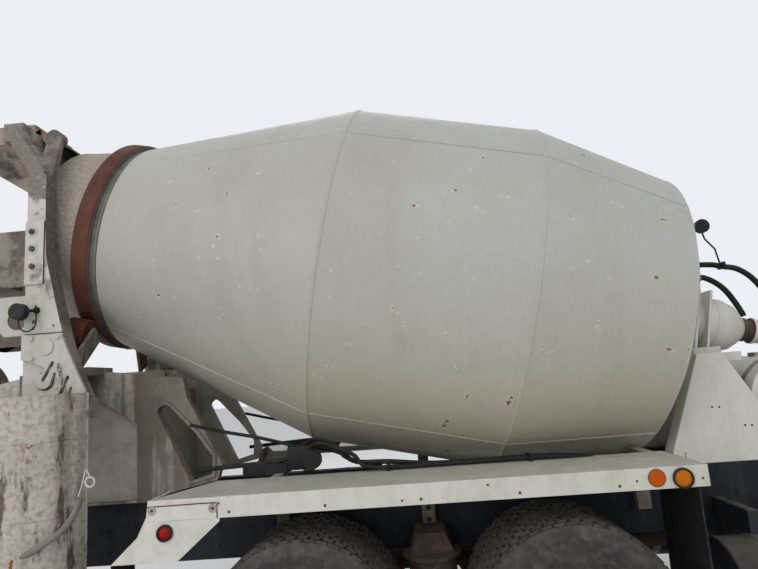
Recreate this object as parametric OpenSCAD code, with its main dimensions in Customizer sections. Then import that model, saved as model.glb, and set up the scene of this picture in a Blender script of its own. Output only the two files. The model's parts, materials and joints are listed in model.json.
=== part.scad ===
// Rear-discharge concrete mixer truck: conventional cab, steering front axle, driven tandem,
// an inclined drum on two pedestals, a charging hopper and a folding discharge chute.
// Millimetres. +X is forward, +Y is the driver's side, +Z is up, and the wheels stand on z = 0.

/* [Overall] */
// Overall length, from the bumper to the tip of the chute
overall_l = 10400; // [10200:10:10700]
// Width over the rear fenders
body_w = 2436; // [2400:2:2500]
// Gap between pieces that seat on each other
seat_gap = 0.3; // [0.2:0.1:0.6]

/* [Chassis] */
// Distance from the front axle to the middle of the tandem
wheelbase = 5296; // [5200:10:5400]
// Distance from the bumper face to the front axle
front_overhang = 1100; // [1050:10:1160]
// Distance between the two driven axles
tandem_spread = 1372; // [1340:2:1420]
// Width over the two frame rails
frame_w = 860; // [820:2:880]
// Height of the underside of the frame rails
rail_z = 760; // [750:5:790]
// Depth of a frame rail
rail_h = 270; // [250:5:285]
// Width of a rail's flange
rail_flange = 90; // [80:1:100]
// Thickness of a rail's web and flanges
rail_t = 10; // [8:1:12]
// Depth of the mixer subframe on top of the rails
subframe_h = 110; // [100:5:130]
// Rear end of the rails, behind the rear driven axle
frame_overhang = 1839; // [1800:10:1900]

/* [Wheels] */
// Outer radius of a driven tyre, over its lugs
rear_tyre_r = 520; // [505:1:530]
// Width of a driven tyre
rear_tyre_w = 279; // [260:1:290]
// Distance between the two tyres of a pair
dual_spacing = 343; // [335:1:355]
// Track of the driven wheels, between the middles of the pairs
rear_track = 1822; // [1800:2:1840]
// Outer radius of a front tyre, over its lugs
front_tyre_r = 530; // [515:1:540]
// Width of a front tyre
front_tyre_w = 385; // [350:5:400]
// Track of the front wheels
front_track = 2040; // [2010:2:2060]
// Radius of the rim's bead seat
bead_r = 286; // [284:1:288]
// Radius of an axle spindle
spindle_r = 50; // [45:1:55]
// Radial clearance of a running fit
running_fit = 0.05; // [0.02:0.01:0.09]

/* [Drum] */
// Distance from the rear end of the rails to the rear weld of the widest section
drum_x = 2051; // [2030:1:2070]
// Height of the drum's axis at that weld
drum_z = 2587; // [2580:1:2610]
// Tilt of the drum's axis, rear end up
drum_tilt = 12.6; // [12.4:0.1:12.8]
// Outer radius of the widest section
drum_r = 1200; // [1180:5:1210]
// Length of the widest section
drum_belly_l = 1200; // [1180:10:1220]
// Length of the front cone
drum_front_l = 910; // [890:10:930]
// Radius at the front edge of the front cone
drum_front_r = 967; // [950:1:980]
// Depth of the dished head
drum_head_l = 180; // [160:5:200]
// Radius of the head's centre plate
drum_plate_r = 250; // [240:5:270]
// Length of the rear cone, up to the track ring
drum_rear_l = 1505; // [1490:5:1520]
// Outer radius of the rear cone beside the track ring
drum_throat_r = 760; // [750:1:765]
// Radius of the seat that carries the track ring
ring_seat_r = 722; // [715:1:730]
// Outer radius of the track ring
ring_r = 778; // [772:1:785]
// Width of the track ring
ring_w = 110; // [100:1:120]
// Width of the bare band between the cone and the track ring
ring_band = 56; // [50:1:60]
// Outer radius of the neck at the mouth
mouth_r = 670; // [660:1:680]
// Distance from the track ring to the mouth
neck_l = 360; // [340:5:380]
// Thickness of the drum's steel
drum_t = 8; // [6:1:10]
// Radius of a drum roller
roller_r = 110; // [100:1:120]
// Angle of a roller from straight below the axis
roller_angle = 36; // [34:1:38]

/* [Cab and hood] */
// Width over the cab
cab_w = 2000; // [1960:10:2040]
// Distance from the bumper face to the back of the cab
cab_back = 2950; // [2900:10:3000]
// Length of the cab at its floor
cab_l = 1400; // [1380:10:1440]
// Height of the underside of the cab
cab_z = 1080; // [1060:5:1100]
// Height of the roof
roof_z = 2880; // [2840:10:2920]
// Thickness of the cab's walls and doors
cab_wall = 45; // [35:1:50]
// Gap around a door
door_gap = 7; // [6:1:10]
// Height of the bottom of the windows
belt_z = 1960; // [1930:10:1990]
// Length of a door at its sill
door_l = 920; // [880:10:940]
// Thickness of the hood
hood_t = 14; // [10:1:20]
// Height of the hood at the cowl
hood_rear_z = 1960; // [1920:10:1980]
// Height of the hood at the nose
hood_nose_z = 1730; // [1700:10:1760]
// Radius of the front wheel arch
arch_r = 670; // [660:5:680]
// Thickness of a window pane
glass_t = 8; // [6:1:10]

/* [Rear body] */
// Height of the top of the rear fenders
fender_z = 1274; // [1260:2:1290]
// Depth of a rear fender's outer face
fender_face_h = 103; // [95:1:110]
// Thickness of fender plate
fender_t = 6; // [4:1:8]
// Front end of the fender, ahead of the front driven axle
fender_front = 682; // [670:2:700]
// Rear end of the straight fender, behind the rear driven axle
fender_rear = 371; // [360:1:390]
// Distance of a rear post's outer face from the middle of the truck
post_y = 850; // [840:1:860]
// Thickness of a rear post
post_t = 110; // [100:1:120]
// Height of the top of a rear post
post_top_z = 3250; // [3200:10:3280]
// Length of an extension chute
extension_l = 1200; // [1150:10:1220]
// Outer radius of the chutes
chute_r = 235; // [225:1:245]
// Wall of the chutes
chute_t = 6; // [5:1:8]
// Distance from the chute's swing axis to its tip
chute_reach = 950; // [920:10:980]
// Distance from the swing axis to the chute's head
chute_head = 290; // [270:10:300]
// Pitch of the parked chute, tip down
chute_pitch = 10; // [9:1:11]
// Length of the folded chute
fold_l = 760; // [740:10:780]
// Height of the rim of the charging hopper above the drum's axis at that weld
hopper_z = 1183; // [1170:1:1200]

/* [Water tank and fuel tanks] */
// Radius of the water tank
water_r = 300; // [280:5:310]
// Length of the water tank's shell
water_l = 740; // [700:10:800]
// Radius of a fuel tank
fuel_r = 280; // [270:5:290]
// Length of a fuel tank
fuel_l = 1400; // [1300:10:1500]

/* [Hidden] */
$fn = 48;
front_x = overall_l / 2;
front_axle_x = front_x - front_overhang;
tandem_x = front_axle_x - wheelbase;
tandem_axles_x = [tandem_x - tandem_spread / 2, tandem_x + tandem_spread / 2];
rail_top = rail_z + rail_h;
deck_z = rail_top + seat_gap + subframe_h;
frame_rear_x = tandem_axles_x[0] - frame_overhang;
bumper_x = front_x - 75;
bumper_rear_x = bumper_x - 100;
rail_y = frame_w / 2;
rail_inner_y = rail_y - rail_flange;
weld_x = frame_rear_x + drum_x;
subframe_front_x = weld_x + 3170;

ring_mid_s = -drum_rear_l - ring_band - ring_w / 2;
mouth_s = ring_mid_s - ring_w / 2 - neck_l;
head_s = drum_belly_l + drum_front_l;
nose_s = head_s + drum_head_l;
flange_s = nose_s + 60;
mouth_x = weld_x + mouth_s * cos(drum_tilt);
mouth_z = drum_z - mouth_s * sin(drum_tilt);

cab_back_x = front_x - cab_back;
cowl_x = cab_back_x + cab_l;
pillar_top_x = cowl_x - 330;
cab_y = cab_w / 2;
door_front_x = cowl_x - 190;
door_rear_x = door_front_x - door_l;
door_z = cab_z + 50;
hood_rear_x = cowl_x + 10;
nose_x = front_x - 260;
frame_front_x = nose_x - 60;
fender_y = body_w / 2;
fender_inner_y = fender_y - 513;
fender_front_x = tandem_axles_x[1] + fender_front;
fender_rear_x = tandem_axles_x[0] - fender_rear;
post_rear_x = frame_rear_x + 156;
pivot_x = -front_x + chute_reach;
hinge_z = 1640;
kingpin_y = front_track / 2 - 170;
knuckle_h = 150;
chute_gap = 6;
hopper_top_z = drum_z + hopper_z;
arch_top_z = front_tyre_r + arch_r;

paint = "#dedbd0";
dark = "#1c2026";
steel = "#6f6a62";
rust = "#7a4a32";
rubber = "#26241f";
glass = "#5b6b70";

// Draws the children as they are, and again mirrored to the driver's side.
module both_sides() {
    for (flip = [0, 1]) mirror([0, flip, 0]) children();
}

// Mirrors what is drawn for the passenger's side when the side is 1.
module on_side(side) {
    mirror([0, side > 0 ? 1 : 0, 0]) children();
}

// Extrudes a side view, drawn as x and z, from y0 to y1.
module side_plate(y0, y1) {
    translate([0, y1, 0]) rotate([90, 0, 0]) linear_extrude(y1 - y0) children();
}

// Extrudes a front view, drawn as y and z, from x0 to x1.
module cross_plate(x0, x1) {
    translate([x0, 0, 0]) rotate([90, 0, 90]) linear_extrude(x1 - x0) children();
}

// A block given by its lowest and highest corners.
module block(low, high) {
    translate(low) cube(high - low);
}

// A round bar between two points.
module rod(start, finish, r) {
    v = finish - start;
    translate(start) rotate([0, acos(v[2] / norm(v)), atan2(v[1], v[0])]) cylinder(h = norm(v), r = r);
}

// A square bar between two points, its width across the run and its depth the other way.
module bar(start, finish, width, depth) {
    v = finish - start;
    translate(start) rotate([0, acos(v[2] / norm(v)), atan2(v[1], v[0])])
        translate([-depth / 2, -width / 2, 0]) cube([depth, width, norm(v)]);
}

// A flat slot with round ends between two points.
module slot(start, finish, r) {
    v = finish - start;
    translate(start) rotate([0, 0, atan2(v[1], v[0])]) {
        circle(r = r);
        translate([0, -r]) square([norm(v), 2 * r]);
        translate([norm(v), 0]) circle(r = r);
    }
}

// A round bar along y.
module cross_rod(x, z, y0, y1, r) {
    translate([x, y1, z]) rotate([90, 0, 0]) cylinder(h = y1 - y0, r = r);
}

// Places its children on the drum's axis, with z forward along the axis.
module on_drum_axis() {
    translate([weld_x, 0, drum_z]) rotate([0, 90 + drum_tilt, 0]) children();
}

// Revolves a profile of radius and distance about a wheel's axle, with the distance outward.
module on_axle(x, y, z, side) {
    on_side(side) translate([x, -y, z]) rotate([90, 0, 0]) children();
}

// Points of an arc, as a list.
function arc(centre, r, from, to, steps) = [
    for (i = [0:steps]) let (a = from + (to - from) * i / steps)
        [centre[0] + r * cos(a), centre[1] + r * sin(a)]
];

module rail_section() {
    difference() {
        translate([-rail_y, rail_z]) square([rail_flange, rail_h]);
        translate([-rail_y + rail_t, rail_z + rail_t]) square([rail_flange, rail_h - 2 * rail_t]);
    }
}

crossmembers = [frame_rear_x + 60, tandem_x - 1150, tandem_x, tandem_x + 1150, cab_back_x - 950,
    cab_back_x + 250, front_axle_x - 300, front_axle_x + 450];
crossmember_w = 120;
module frame_rails() {
    color(dark) {
        both_sides() cross_plate(frame_rear_x, frame_front_x) rail_section();
        for (x = crossmembers)
            block([x - crossmember_w / 2, -rail_y + rail_t / 2, rail_z + 60],
                [x + crossmember_w / 2, rail_y - rail_t / 2, rail_top - 60]);
    }
}

module subframe() {
    color(dark) {
        both_sides()
            block([frame_rear_x, -rail_y, rail_top + seat_gap], [subframe_front_x, -rail_inner_y, deck_z]);
        for (x = [frame_rear_x + 100, tandem_x - 600, tandem_x + 700, subframe_front_x - 900,
                subframe_front_x - 60])
            block([x - 45, -rail_inner_y - 1, rail_top + 20], [x + 45, rail_inner_y + 1, deck_z - 15]);
    }
}

bumper_h = 320;
bumper_z = 470;
bumper_half_w = 1210;
tow_y = 520;
tow_z = bumper_z + 105;
tow_t = 30;
tow_pin_r = 22;
tow_eye_r = 45;
module front_bumper() {
    color(paint) {
        difference() {
            translate([0, 0, bumper_z]) linear_extrude(bumper_h) polygon([
                [bumper_rear_x, -900], [bumper_x - 185, -bumper_half_w + 20],
                [bumper_x - 125, -bumper_half_w],
                [bumper_x, -980], [bumper_x, 980], [bumper_x - 125, bumper_half_w],
                [bumper_x - 185, bumper_half_w - 20], [bumper_rear_x, 900]]);
            both_sides() cross_plate(bumper_x - 200, bumper_x + 10)
                translate([-tow_y - 80, tow_z - 15]) square([160, 60]);
        }
        both_sides() translate([0, 0, tow_z]) linear_extrude(tow_t) difference() {
            union() {
                translate([bumper_x - 60, -tow_y - 85]) square([30, 170]);
                translate([bumper_x - 40, -tow_y - tow_eye_r])
                    square([40 + front_x - bumper_x - tow_eye_r, 2 * tow_eye_r]);
                translate([front_x - tow_eye_r, -tow_y]) circle(r = tow_eye_r);
            }
            translate([front_x - tow_eye_r, -tow_y]) circle(r = tow_pin_r);
        }
    }
    color(dark) both_sides() {
        block([front_axle_x + spring_half + 60, -rail_y + 5, rail_z - 110],
            [bumper_rear_x + 1, -rail_inner_y - 5, rail_z - seat_gap]);
        block([hood_hinge[0] - 25, -rail_y + 5, rail_z - 20],
            [hood_hinge[0] + 25, -rail_inner_y - 5, hood_hinge[1] + 20]);
        cross_rod(hood_hinge[0], hood_hinge[1], -rail_inner_y - 10, -rail_inner_y + 45, hood_pin_r);
    }
}

beam_h = 100;
axle_pad_z = front_tyre_r + beam_h / 2 + 5;
module front_axle() {
    color(dark) difference() {
        union() {
            side_i_beam();
            both_sides() translate([front_axle_x, -kingpin_y, front_tyre_r - knuckle_h / 2 + 20])
                cylinder(h = knuckle_h - 40, r = 62);
            both_sides() block([front_axle_x - 80, -rail_y - 5, front_tyre_r - 40],
                [front_axle_x + 80, -rail_inner_y, axle_pad_z]);
        }
        both_sides() translate([front_axle_x, -kingpin_y, 0])
            cylinder(h = 2 * front_tyre_r, r = 30 + running_fit);
    }
}
module side_i_beam() {
    side_w = 90;
    cross_depth = beam_h;
    for (z = [front_tyre_r - cross_depth / 2, front_tyre_r + cross_depth / 2 - 18])
        block([front_axle_x - side_w / 2, -kingpin_y + 40, z],
            [front_axle_x + side_w / 2, kingpin_y - 40, z + 18]);
    block([front_axle_x - 10, -kingpin_y + 40, front_tyre_r - cross_depth / 2],
        [front_axle_x + 10, kingpin_y - 40, front_tyre_r + cross_depth / 2]);
}

spring_half = 640;
spring_t = 56;
spring_rise = rail_z - axle_pad_z - seat_gap - spring_t - 10;
spring_curve_r = (spring_half * spring_half + spring_rise * spring_rise) / (2 * spring_rise);
module front_springs() {
    color(dark) both_sides() {
        side_plate(-rail_y + 5, -rail_inner_y - 5) intersection() {
            translate([front_axle_x, axle_pad_z + seat_gap + spring_t + spring_curve_r]) difference() {
                circle(r = spring_curve_r + spring_t, $fn = 180);
                circle(r = spring_curve_r, $fn = 180);
            }
            translate([front_axle_x - spring_half, axle_pad_z])
                square([2 * spring_half, rail_z - axle_pad_z - seat_gap]);
        }
        for (end = [-1, 1]) block([front_axle_x + end * spring_half - 40, -rail_y + 5, rail_z - 60],
            [front_axle_x + end * spring_half + 40, -rail_inner_y - 5, rail_z - seat_gap]);
    }
}

axle_tube_r = 75;
shaft_tube_r = 42;
module tandem_axles() {
    color(dark) for (x = tandem_axles_x) {
        cross_rod(x, rear_tyre_r, -rear_track / 2 + 130, rear_track / 2 - 130, axle_tube_r);
        cross_rod(x, rear_tyre_r, -rear_track / 2 - 150, rear_track / 2 + 150, spindle_r);
        translate([x, 0, rear_tyre_r]) rotate([0, 90, 0]) cylinder(h = 300, r = 190, center = true);
        translate([x, 0, rear_tyre_r]) rotate([0, 90, 0]) cylinder(h = 520, r = 110, center = true);
    }
    color(dark) {
        rod([tandem_axles_x[0] + 240, 0, rear_tyre_r + 30],
            [tandem_axles_x[1] - 240, 0, rear_tyre_r + 30], shaft_tube_r);
        rod([tandem_axles_x[1] + 240, 0, rear_tyre_r + 30], [gearshift_x - 5, 0, rail_z + 30],
            shaft_tube_r);
    }
}

beam_w = 90;
beam_gap = 35;
beam_y = rear_track / 2 - dual_spacing / 2 - rear_tyre_w / 2 - beam_w / 2 - beam_gap;
beam_eye_r = 115;
beam_mid_z = rear_tyre_r - 60;
module walking_beams() {
    color(rust) both_sides() difference() {
        side_plate(-beam_y - beam_w / 2, -beam_y + beam_w / 2) {
            for (x = tandem_axles_x) translate([x, rear_tyre_r]) circle(r = beam_eye_r);
            polygon([[tandem_axles_x[0], rear_tyre_r - 95], [tandem_x, beam_mid_z - 90],
                [tandem_axles_x[1], rear_tyre_r - 95], [tandem_axles_x[1], rear_tyre_r + 85],
                [tandem_x + 150, beam_mid_z + 90], [tandem_x - 150, beam_mid_z + 90],
                [tandem_axles_x[0], rear_tyre_r + 85]]);
        }
        for (x = tandem_axles_x)
            cross_rod(x, rear_tyre_r, -beam_y - beam_w, -beam_y + beam_w, axle_tube_r + seat_gap);
    }
}

post_centre_y = rail_y + 190;
module suspension_posts() {
    color(rust) both_sides() {
        translate([tandem_x, -post_centre_y, beam_mid_z + 90 + seat_gap]) cylinder(h = 225, r = 140);
        translate([tandem_x, -post_centre_y, rail_z + 5]) cylinder(h = 22, r = 170);
        side_plate(-post_centre_y - 70, -rail_y - seat_gap) polygon([
            [tandem_x - 130, rail_z + 20], [tandem_x + 130, rail_z + 20], [tandem_x + 85, rail_z + 140],
            [tandem_x - 85, rail_z + 140]]);
    }
}

function cab_side(t) = concat(
    [[cab_back_x + t, cab_z + t], [cowl_x - t, cab_z + t], [cowl_x - t, belt_z - 20 - t]],
    arc([pillar_top_x - 160, roof_z - 190], 190 - t, 35, 90, 5),
    arc([cab_back_x + 150, roof_z - 150], 150 - t, 90, 180, 5));
function cab_front(t) = concat(
    [[-cab_y + t, cab_z - 10], [-cab_y + t, belt_z]],
    arc([-cab_y + 200, roof_z - 130], 130 - t, 175, 90, 5),
    arc([cab_y - 200, roof_z - 130], 130 - t, 90, 5, 5),
    [[cab_y - t, belt_z], [cab_y - t, cab_z - 10]]);
module cab_body(t) {
    intersection() {
        side_plate(-cab_y - 1, cab_y + 1) polygon(cab_side(t));
        cross_plate(cab_back_x - 1, cowl_x + 1) polygon(cab_front(t));
    }
}
module cab_walls() {
    difference() {
        cab_body(0);
        cab_body(cab_wall);
    }
}

// Outline of a door, grown by a gap.
module door_outline(gap) {
    polygon([
        [door_rear_x - gap, door_z - gap], [door_front_x + gap, door_z - gap],
        [door_front_x + gap, belt_z + 20], [pillar_top_x - 20 + gap, roof_z - 190 + gap],
        [door_rear_x - gap, roof_z - 190 + gap]]);
}
module door_window(gap) {
    polygon([
        [door_rear_x + 90 - gap, belt_z - gap], [door_front_x - 80 + gap, belt_z - gap],
        [door_front_x - 80 + gap, belt_z + 40], [pillar_top_x - 90 + gap, roof_z - 260 + gap],
        [door_rear_x + 90 - gap, roof_z - 260 + gap]]);
}
// Both halves of the windscreen, in by a gap.
module windscreen_opening(gap) {
    for (side = [-1, 1]) cross_plate(pillar_top_x - 100, cowl_x + 60) polygon([
        [side * (30 + gap), belt_z + 90 + gap], [side * (cab_y - 130 - gap), belt_z + 90 + gap],
        [side * (cab_y - 190 - gap), roof_z - 170 - gap], [side * (30 + gap), roof_z - 170 - gap]]);
}
rear_window = [1040, 480];
module rear_window_opening() {
    cross_plate(cab_back_x - 10, cab_back_x + cab_wall + 10)
        translate([-rear_window[0] / 2, belt_z + 60]) square(rear_window);
}
door_hinge_x = door_front_x + door_gap / 2;
door_hinges_z = [door_z + 140, belt_z - 140];
door_knuckle_h = 70;
door_knuckle_r = 17;
door_pin_r = 8;
door_hinge_y = cab_y + 10;
module cab_shell() {
    color(paint) {
        difference() {
            cab_walls();
            both_sides() side_plate(-cab_y - 10, -cab_y + 180) door_outline(door_gap);
            both_sides() for (z = door_hinges_z)
                translate([door_hinge_x, -door_hinge_y, z - door_knuckle_h / 2 - 3])
                    cylinder(h = door_knuckle_h + 6, r = door_knuckle_r + 3);
            windscreen_opening(0);
            rear_window_opening();
        }
        both_sides() for (x = [cab_back_x + 120, cowl_x - 250])
            block([x - 60, -rail_y, rail_top + seat_gap], [x + 60, -rail_inner_y, cab_z + 1]);
        both_sides() for (z = door_hinges_z) {
            translate([door_hinge_x, -door_hinge_y, z - door_knuckle_h / 2 - 12])
                cylinder(h = door_knuckle_h + 24, r = door_pin_r);
            for (end = [-1, 1]) translate([0, 0, z + end * (door_knuckle_h / 2 + 8) - 5])
                block([door_hinge_x, -door_hinge_y - 10, 0], [door_hinge_x + 44, -cab_y - seat_gap, 10]);
            block([door_hinge_x + 20, -door_hinge_y, z - door_knuckle_h / 2 - 13],
                [door_hinge_x + 44, -cab_y + 1, z + door_knuckle_h / 2 + 13]);
        }
    }
}

module cab_glass() {
    color(glass) {
        intersection() {
            difference() {
                cab_body(cab_wall / 2 - glass_t / 2);
                cab_body(cab_wall / 2 + glass_t / 2);
            }
            windscreen_opening(seat_gap);
        }
        cross_plate(cab_back_x + cab_wall / 2 - glass_t / 2, cab_back_x + cab_wall / 2 + glass_t / 2)
            translate([-rear_window[0] / 2 + seat_gap, belt_z + 60 + seat_gap])
                square(rear_window - 2 * [seat_gap, seat_gap]);
    }
}

seat_x = cab_back_x + 420;
module seats() {
    color(rubber) both_sides() {
        block([seat_x - 180, -740, cab_z + cab_wall + seat_gap], [seat_x + 180, -440, cab_z + 260]);
        block([seat_x - 240, -840, cab_z + 260], [seat_x + 260, -340, cab_z + 420]);
        side_plate(-830, -350) polygon([[seat_x - 260, cab_z + 420], [seat_x - 120, cab_z + 420],
            [seat_x - 220, cab_z + 1080], [seat_x - 330, cab_z + 1080]]);
    }
}

module dashboard() {
    color(rubber) {
        side_plate(-cab_y + cab_wall + 30, cab_y - cab_wall - 30) polygon([
            [cowl_x - cab_wall - seat_gap, cab_z + 480], [cowl_x - 300, cab_z + 520],
            [cowl_x - 330, cab_z + 700], [cowl_x - cab_wall - seat_gap, cab_z + 780]]);
        translate([cowl_x - 300, 590, cab_z + 640]) rotate([0, -60, 0]) {
            cylinder(h = 160, r = 22);
            translate([0, 0, 150]) difference() {
                cylinder(h = 26, r = 225);
                translate([0, 0, -1]) cylinder(h = 28, r = 195);
            }
            translate([0, 0, 150]) for (a = [90, 210, 330]) rotate([0, 0, a])
                block([0, -16, 4], [200, 16, 20]);
        }
    }
}

engine_l = 1000;
engine_w = 640;
gearshift_x = cab_back_x + 650;
module engine_block() {
    color(steel) {
        block([cowl_x + 30, -engine_w / 2, rail_top - 60 + seat_gap],
            [cowl_x + 30 + engine_l, engine_w / 2, hood_nose_z - 140]);
        block([gearshift_x + 500, -230, rail_z - 60], [cowl_x + 80, 230, rail_top + 30]);
        block([gearshift_x, -160, rail_z - 110], [gearshift_x + 510, 160, rail_z + 170]);
    }
}

stack_x = cab_back_x - 160;
stack_y = cab_y - 240;
stack_z = cab_z + 150;
module exhaust_stack() {
    color(steel) {
        translate([stack_x, -stack_y, stack_z]) cylinder(h = roof_z + 100 - stack_z, r = 65);
        translate([stack_x, -stack_y, stack_z + 220]) cylinder(h = roof_z - 280 - stack_z - 220, r = 120);
        block([stack_x - 60, -stack_y - 60, stack_z - 80], [stack_x + 60, -rail_y + 40, stack_z + 2]);
        block([stack_x - 50, -rail_y, rail_top + seat_gap], [stack_x + 50, -rail_inner_y, stack_z - 70]);
    }
}

fuel_x = fender_front_x + 160;
fuel_y = 820;
fuel_z = 540;
module fuel_tanks() {
    color(dark) both_sides() {
        translate([fuel_x, -fuel_y, fuel_z]) rotate([0, 90, 0]) cylinder(h = fuel_l, r = fuel_r);
        for (x = [fuel_x + 200, fuel_x + fuel_l - 260])
            block([x, -fuel_y, fuel_z + 60], [x + 60, -rail_y - seat_gap, rail_top - 80]);
    }
}

step_x = fuel_x + fuel_l + 120;
step_end_x = front_axle_x - arch_r - 130;
step_y = cab_y + 180;
step_inner_y = rail_y + 210;
step_z = rail_z - 140;
tread_z = step_z - 240;
tread_w = 280;
module step_boxes() {
    color(dark) both_sides() {
        side_plate(-step_y, -step_inner_y) difference() {
            polygon([[step_x, step_z], [front_axle_x - arch_r + 80, step_z], [hood_rear_x - 30, cab_z - 60],
                [hood_rear_x - 30, cab_z - 10], [step_end_x, cab_z - 70], [step_x, cab_z - 70]]);
            translate([front_axle_x, front_tyre_r]) circle(r = arch_r, $fn = 96);
        }
        block([step_x + 80, -step_y, tread_z], [step_end_x - 80, -step_y + tread_w, tread_z + 40]);
        for (x = [step_x + 80, step_end_x - 110])
            block([x, -step_y, tread_z + 20], [x + 30, -step_y + tread_w, step_z + 20]);
        for (x = [step_x + 150, step_end_x - 250])
            block([x, -step_inner_y - 20, rail_z + 60], [x + 80, -rail_y - seat_gap, rail_z + 160]);
    }
}

fender_tail_x = fender_rear_x - 569;
fender_tail_z = fender_z - 300;
fender_tail = [
    [fender_rear_x - 374, fender_z], [fender_rear_x - 383, fender_z - 80],
    [fender_rear_x - 430, fender_z - 174], [fender_tail_x, fender_tail_z]
];
fender_rib_h = 60;
module rear_fenders() {
    color(paint) both_sides() {
        translate([0, 0, fender_z - fender_t]) linear_extrude(fender_t) polygon([
            [fender_tail[0][0], -fender_y], [fender_front_x, -fender_y], [fender_front_x, -fender_inner_y],
            [fender_rear_x - 190, -fender_inner_y]]);
        block([fender_rear_x - 10, -fender_y, fender_z - fender_face_h],
            [fender_front_x, -fender_y + fender_t, fender_z]);
        side_plate(-fender_y, -fender_y + fender_t) polygon(concat(fender_tail, [
            [fender_rear_x - 225, fender_tail_z], [fender_rear_x - 4, fender_z - 118],
            [fender_rear_x, fender_z]]));
        side_plate(-fender_y + 1, -fender_inner_y - 250) polygon(concat(fender_tail,
            [for (i = [3:-1:0]) fender_tail[i] + [fender_t + 1, i == 0 ? -fender_t : 0]]));
        for (x = [fender_rear_x + 150, tandem_x, fender_front_x - 60]) {
            block([x - 30, -fender_y + 10, fender_z - fender_t - fender_rib_h],
                [x + 30, -rail_y - seat_gap, fender_z - fender_t]);
            block([x - 40, -rail_y - 60, rail_top - 120],
                [x + 40, -rail_y - seat_gap, fender_z - fender_t - 30]);
        }
    }
}

flap_t = 10;
flap_bottom_z = 300;
module mud_flaps() {
    color(rubber) both_sides() {
        block([fender_front_x - 50, -fender_y + 20, flap_bottom_z],
            [fender_front_x - 50 + flap_t, -fender_inner_y, fender_z - fender_t - fender_rib_h - seat_gap]);
        block([fender_tail_x - flap_t + 1, -fender_y + 20, flap_bottom_z],
            [fender_tail_x + 1, -fender_inner_y - 250, fender_tail_z - seat_gap]);
    }
}

hose_r = 20;
pipe_r = 11;
hose_start = [weld_x + 2550, 0, drum_z - 135];
hose_end_x = hose_start[0] + 770;
// Each step is a distance ahead of the feed hose's fitting and a distance below it.
feed_steps = [
    [0, 0], [89, 6], [140, 12], [192, 28], [289, 50], [375, 112], [445, 212], [530, 392], [630, 602],
    [710, 852], [765, 1132]
];
drain_steps = [[0, 99], [55, 100], [130, 143], [188, 202], [230, 272], [270, 357], [283, 398]];
// The feed hose runs over the water tank to the frame, the drain hose down to the motor.
hose_a = concat([for (p = feed_steps) hose_start + [p[0], 0, -p[1]]], [[hose_end_x, 0, rail_top - 40]]);
hose_b = [for (p = drain_steps) hose_start + [p[0], 0, -p[1]]];

lamp_table = [
    // x, z, radius
    [fender_front_x - 250, fender_z - 50, 42],
    [fender_front_x - 126, fender_z - 58, 50],
    [fender_rear_x - 285, fender_z - 159, 40]
];
tail_lamps_y = [240, 370];
tail_lamps_z = rail_z + 135;
module lamps() {
    color("#c8641e") {
        both_sides() for (l = lamp_table)
            cross_rod(l[0], l[1], -fender_y - 16, -fender_y - seat_gap, l[2]);
        both_sides() for (y = tail_lamps_y)
            translate([frame_rear_x - 55, -y, tail_lamps_z]) rotate([0, 90, 0])
                cylinder(h = 25 - seat_gap, r = 50);
    }
}
work_lamp_r = 50;
rear_lamp = [post_rear_x + 20, -post_y - 85, drum_z - 231];
front_lamp = hose_start + [93, 0, 279];
lamp_stem = [
    front_lamp, hose_start + [110, 0, 188], hose_start + [170, 0, 108], hose_start + [186, 0, 10],
    hose_a[3] + [-6, 0, hose_r + 5]
];
module work_lamps() {
    color(rubber) {
        both_sides() {
            cross_rod(rear_lamp[0], rear_lamp[2], rear_lamp[1] - 20, rear_lamp[1] + 22, work_lamp_r);
            rod(rear_lamp, [rear_lamp[0] + 60, -post_y - 9, rear_lamp[2] + 14], 9);
            cross_rod(rear_lamp[0] + 60, rear_lamp[2] + 14, -post_y - 12, -post_y - seat_gap, 20);
        }
        translate(front_lamp - [0, 20, 0]) rotate([90, 0, 0])
            cylinder(h = 42, r = work_lamp_r, center = true);
        for (i = [1:len(lamp_stem) - 1]) rod(lamp_stem[i - 1], lamp_stem[i], 6);
        for (i = [1:len(lamp_stem) - 2]) translate(lamp_stem[i]) sphere(r = 6.5);
    }
}

pedestal_y = rail_y;
front_top_z = drum_z - 777;
front_ped_x = weld_x + 2260;
front_toe_h = 74.4;
module front_pedestal() {
    foot_z = deck_z + seat_gap;
    color(paint) {
        both_sides() side_plate(-pedestal_y, -pedestal_y + 14) polygon([
            [front_ped_x, front_top_z], [front_ped_x + 160, front_top_z],
            [front_ped_x + 327, front_top_z - 310], [front_ped_x + 520, foot_z], [front_ped_x - 240, foot_z],
            [front_ped_x - 240, foot_z + front_toe_h]]);
        both_sides() side_plate(-pedestal_y + 13, -pedestal_y + 120) polygon([
            [front_ped_x - 240, foot_z], [front_ped_x - 240, foot_z + front_toe_h],
            [front_ped_x, front_top_z], [front_ped_x + 14, front_top_z],
            [front_ped_x - 226, foot_z + front_toe_h - 3],
            [front_ped_x - 226, foot_z]]);
        block([front_ped_x, -pedestal_y + 13, front_top_z - 60],
            [front_ped_x + 160, pedestal_y - 13, front_top_z]);
        block([front_ped_x + 150, -300, front_top_z - 60], [front_ped_x + 350, 300, front_top_z]);
    }
}

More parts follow.
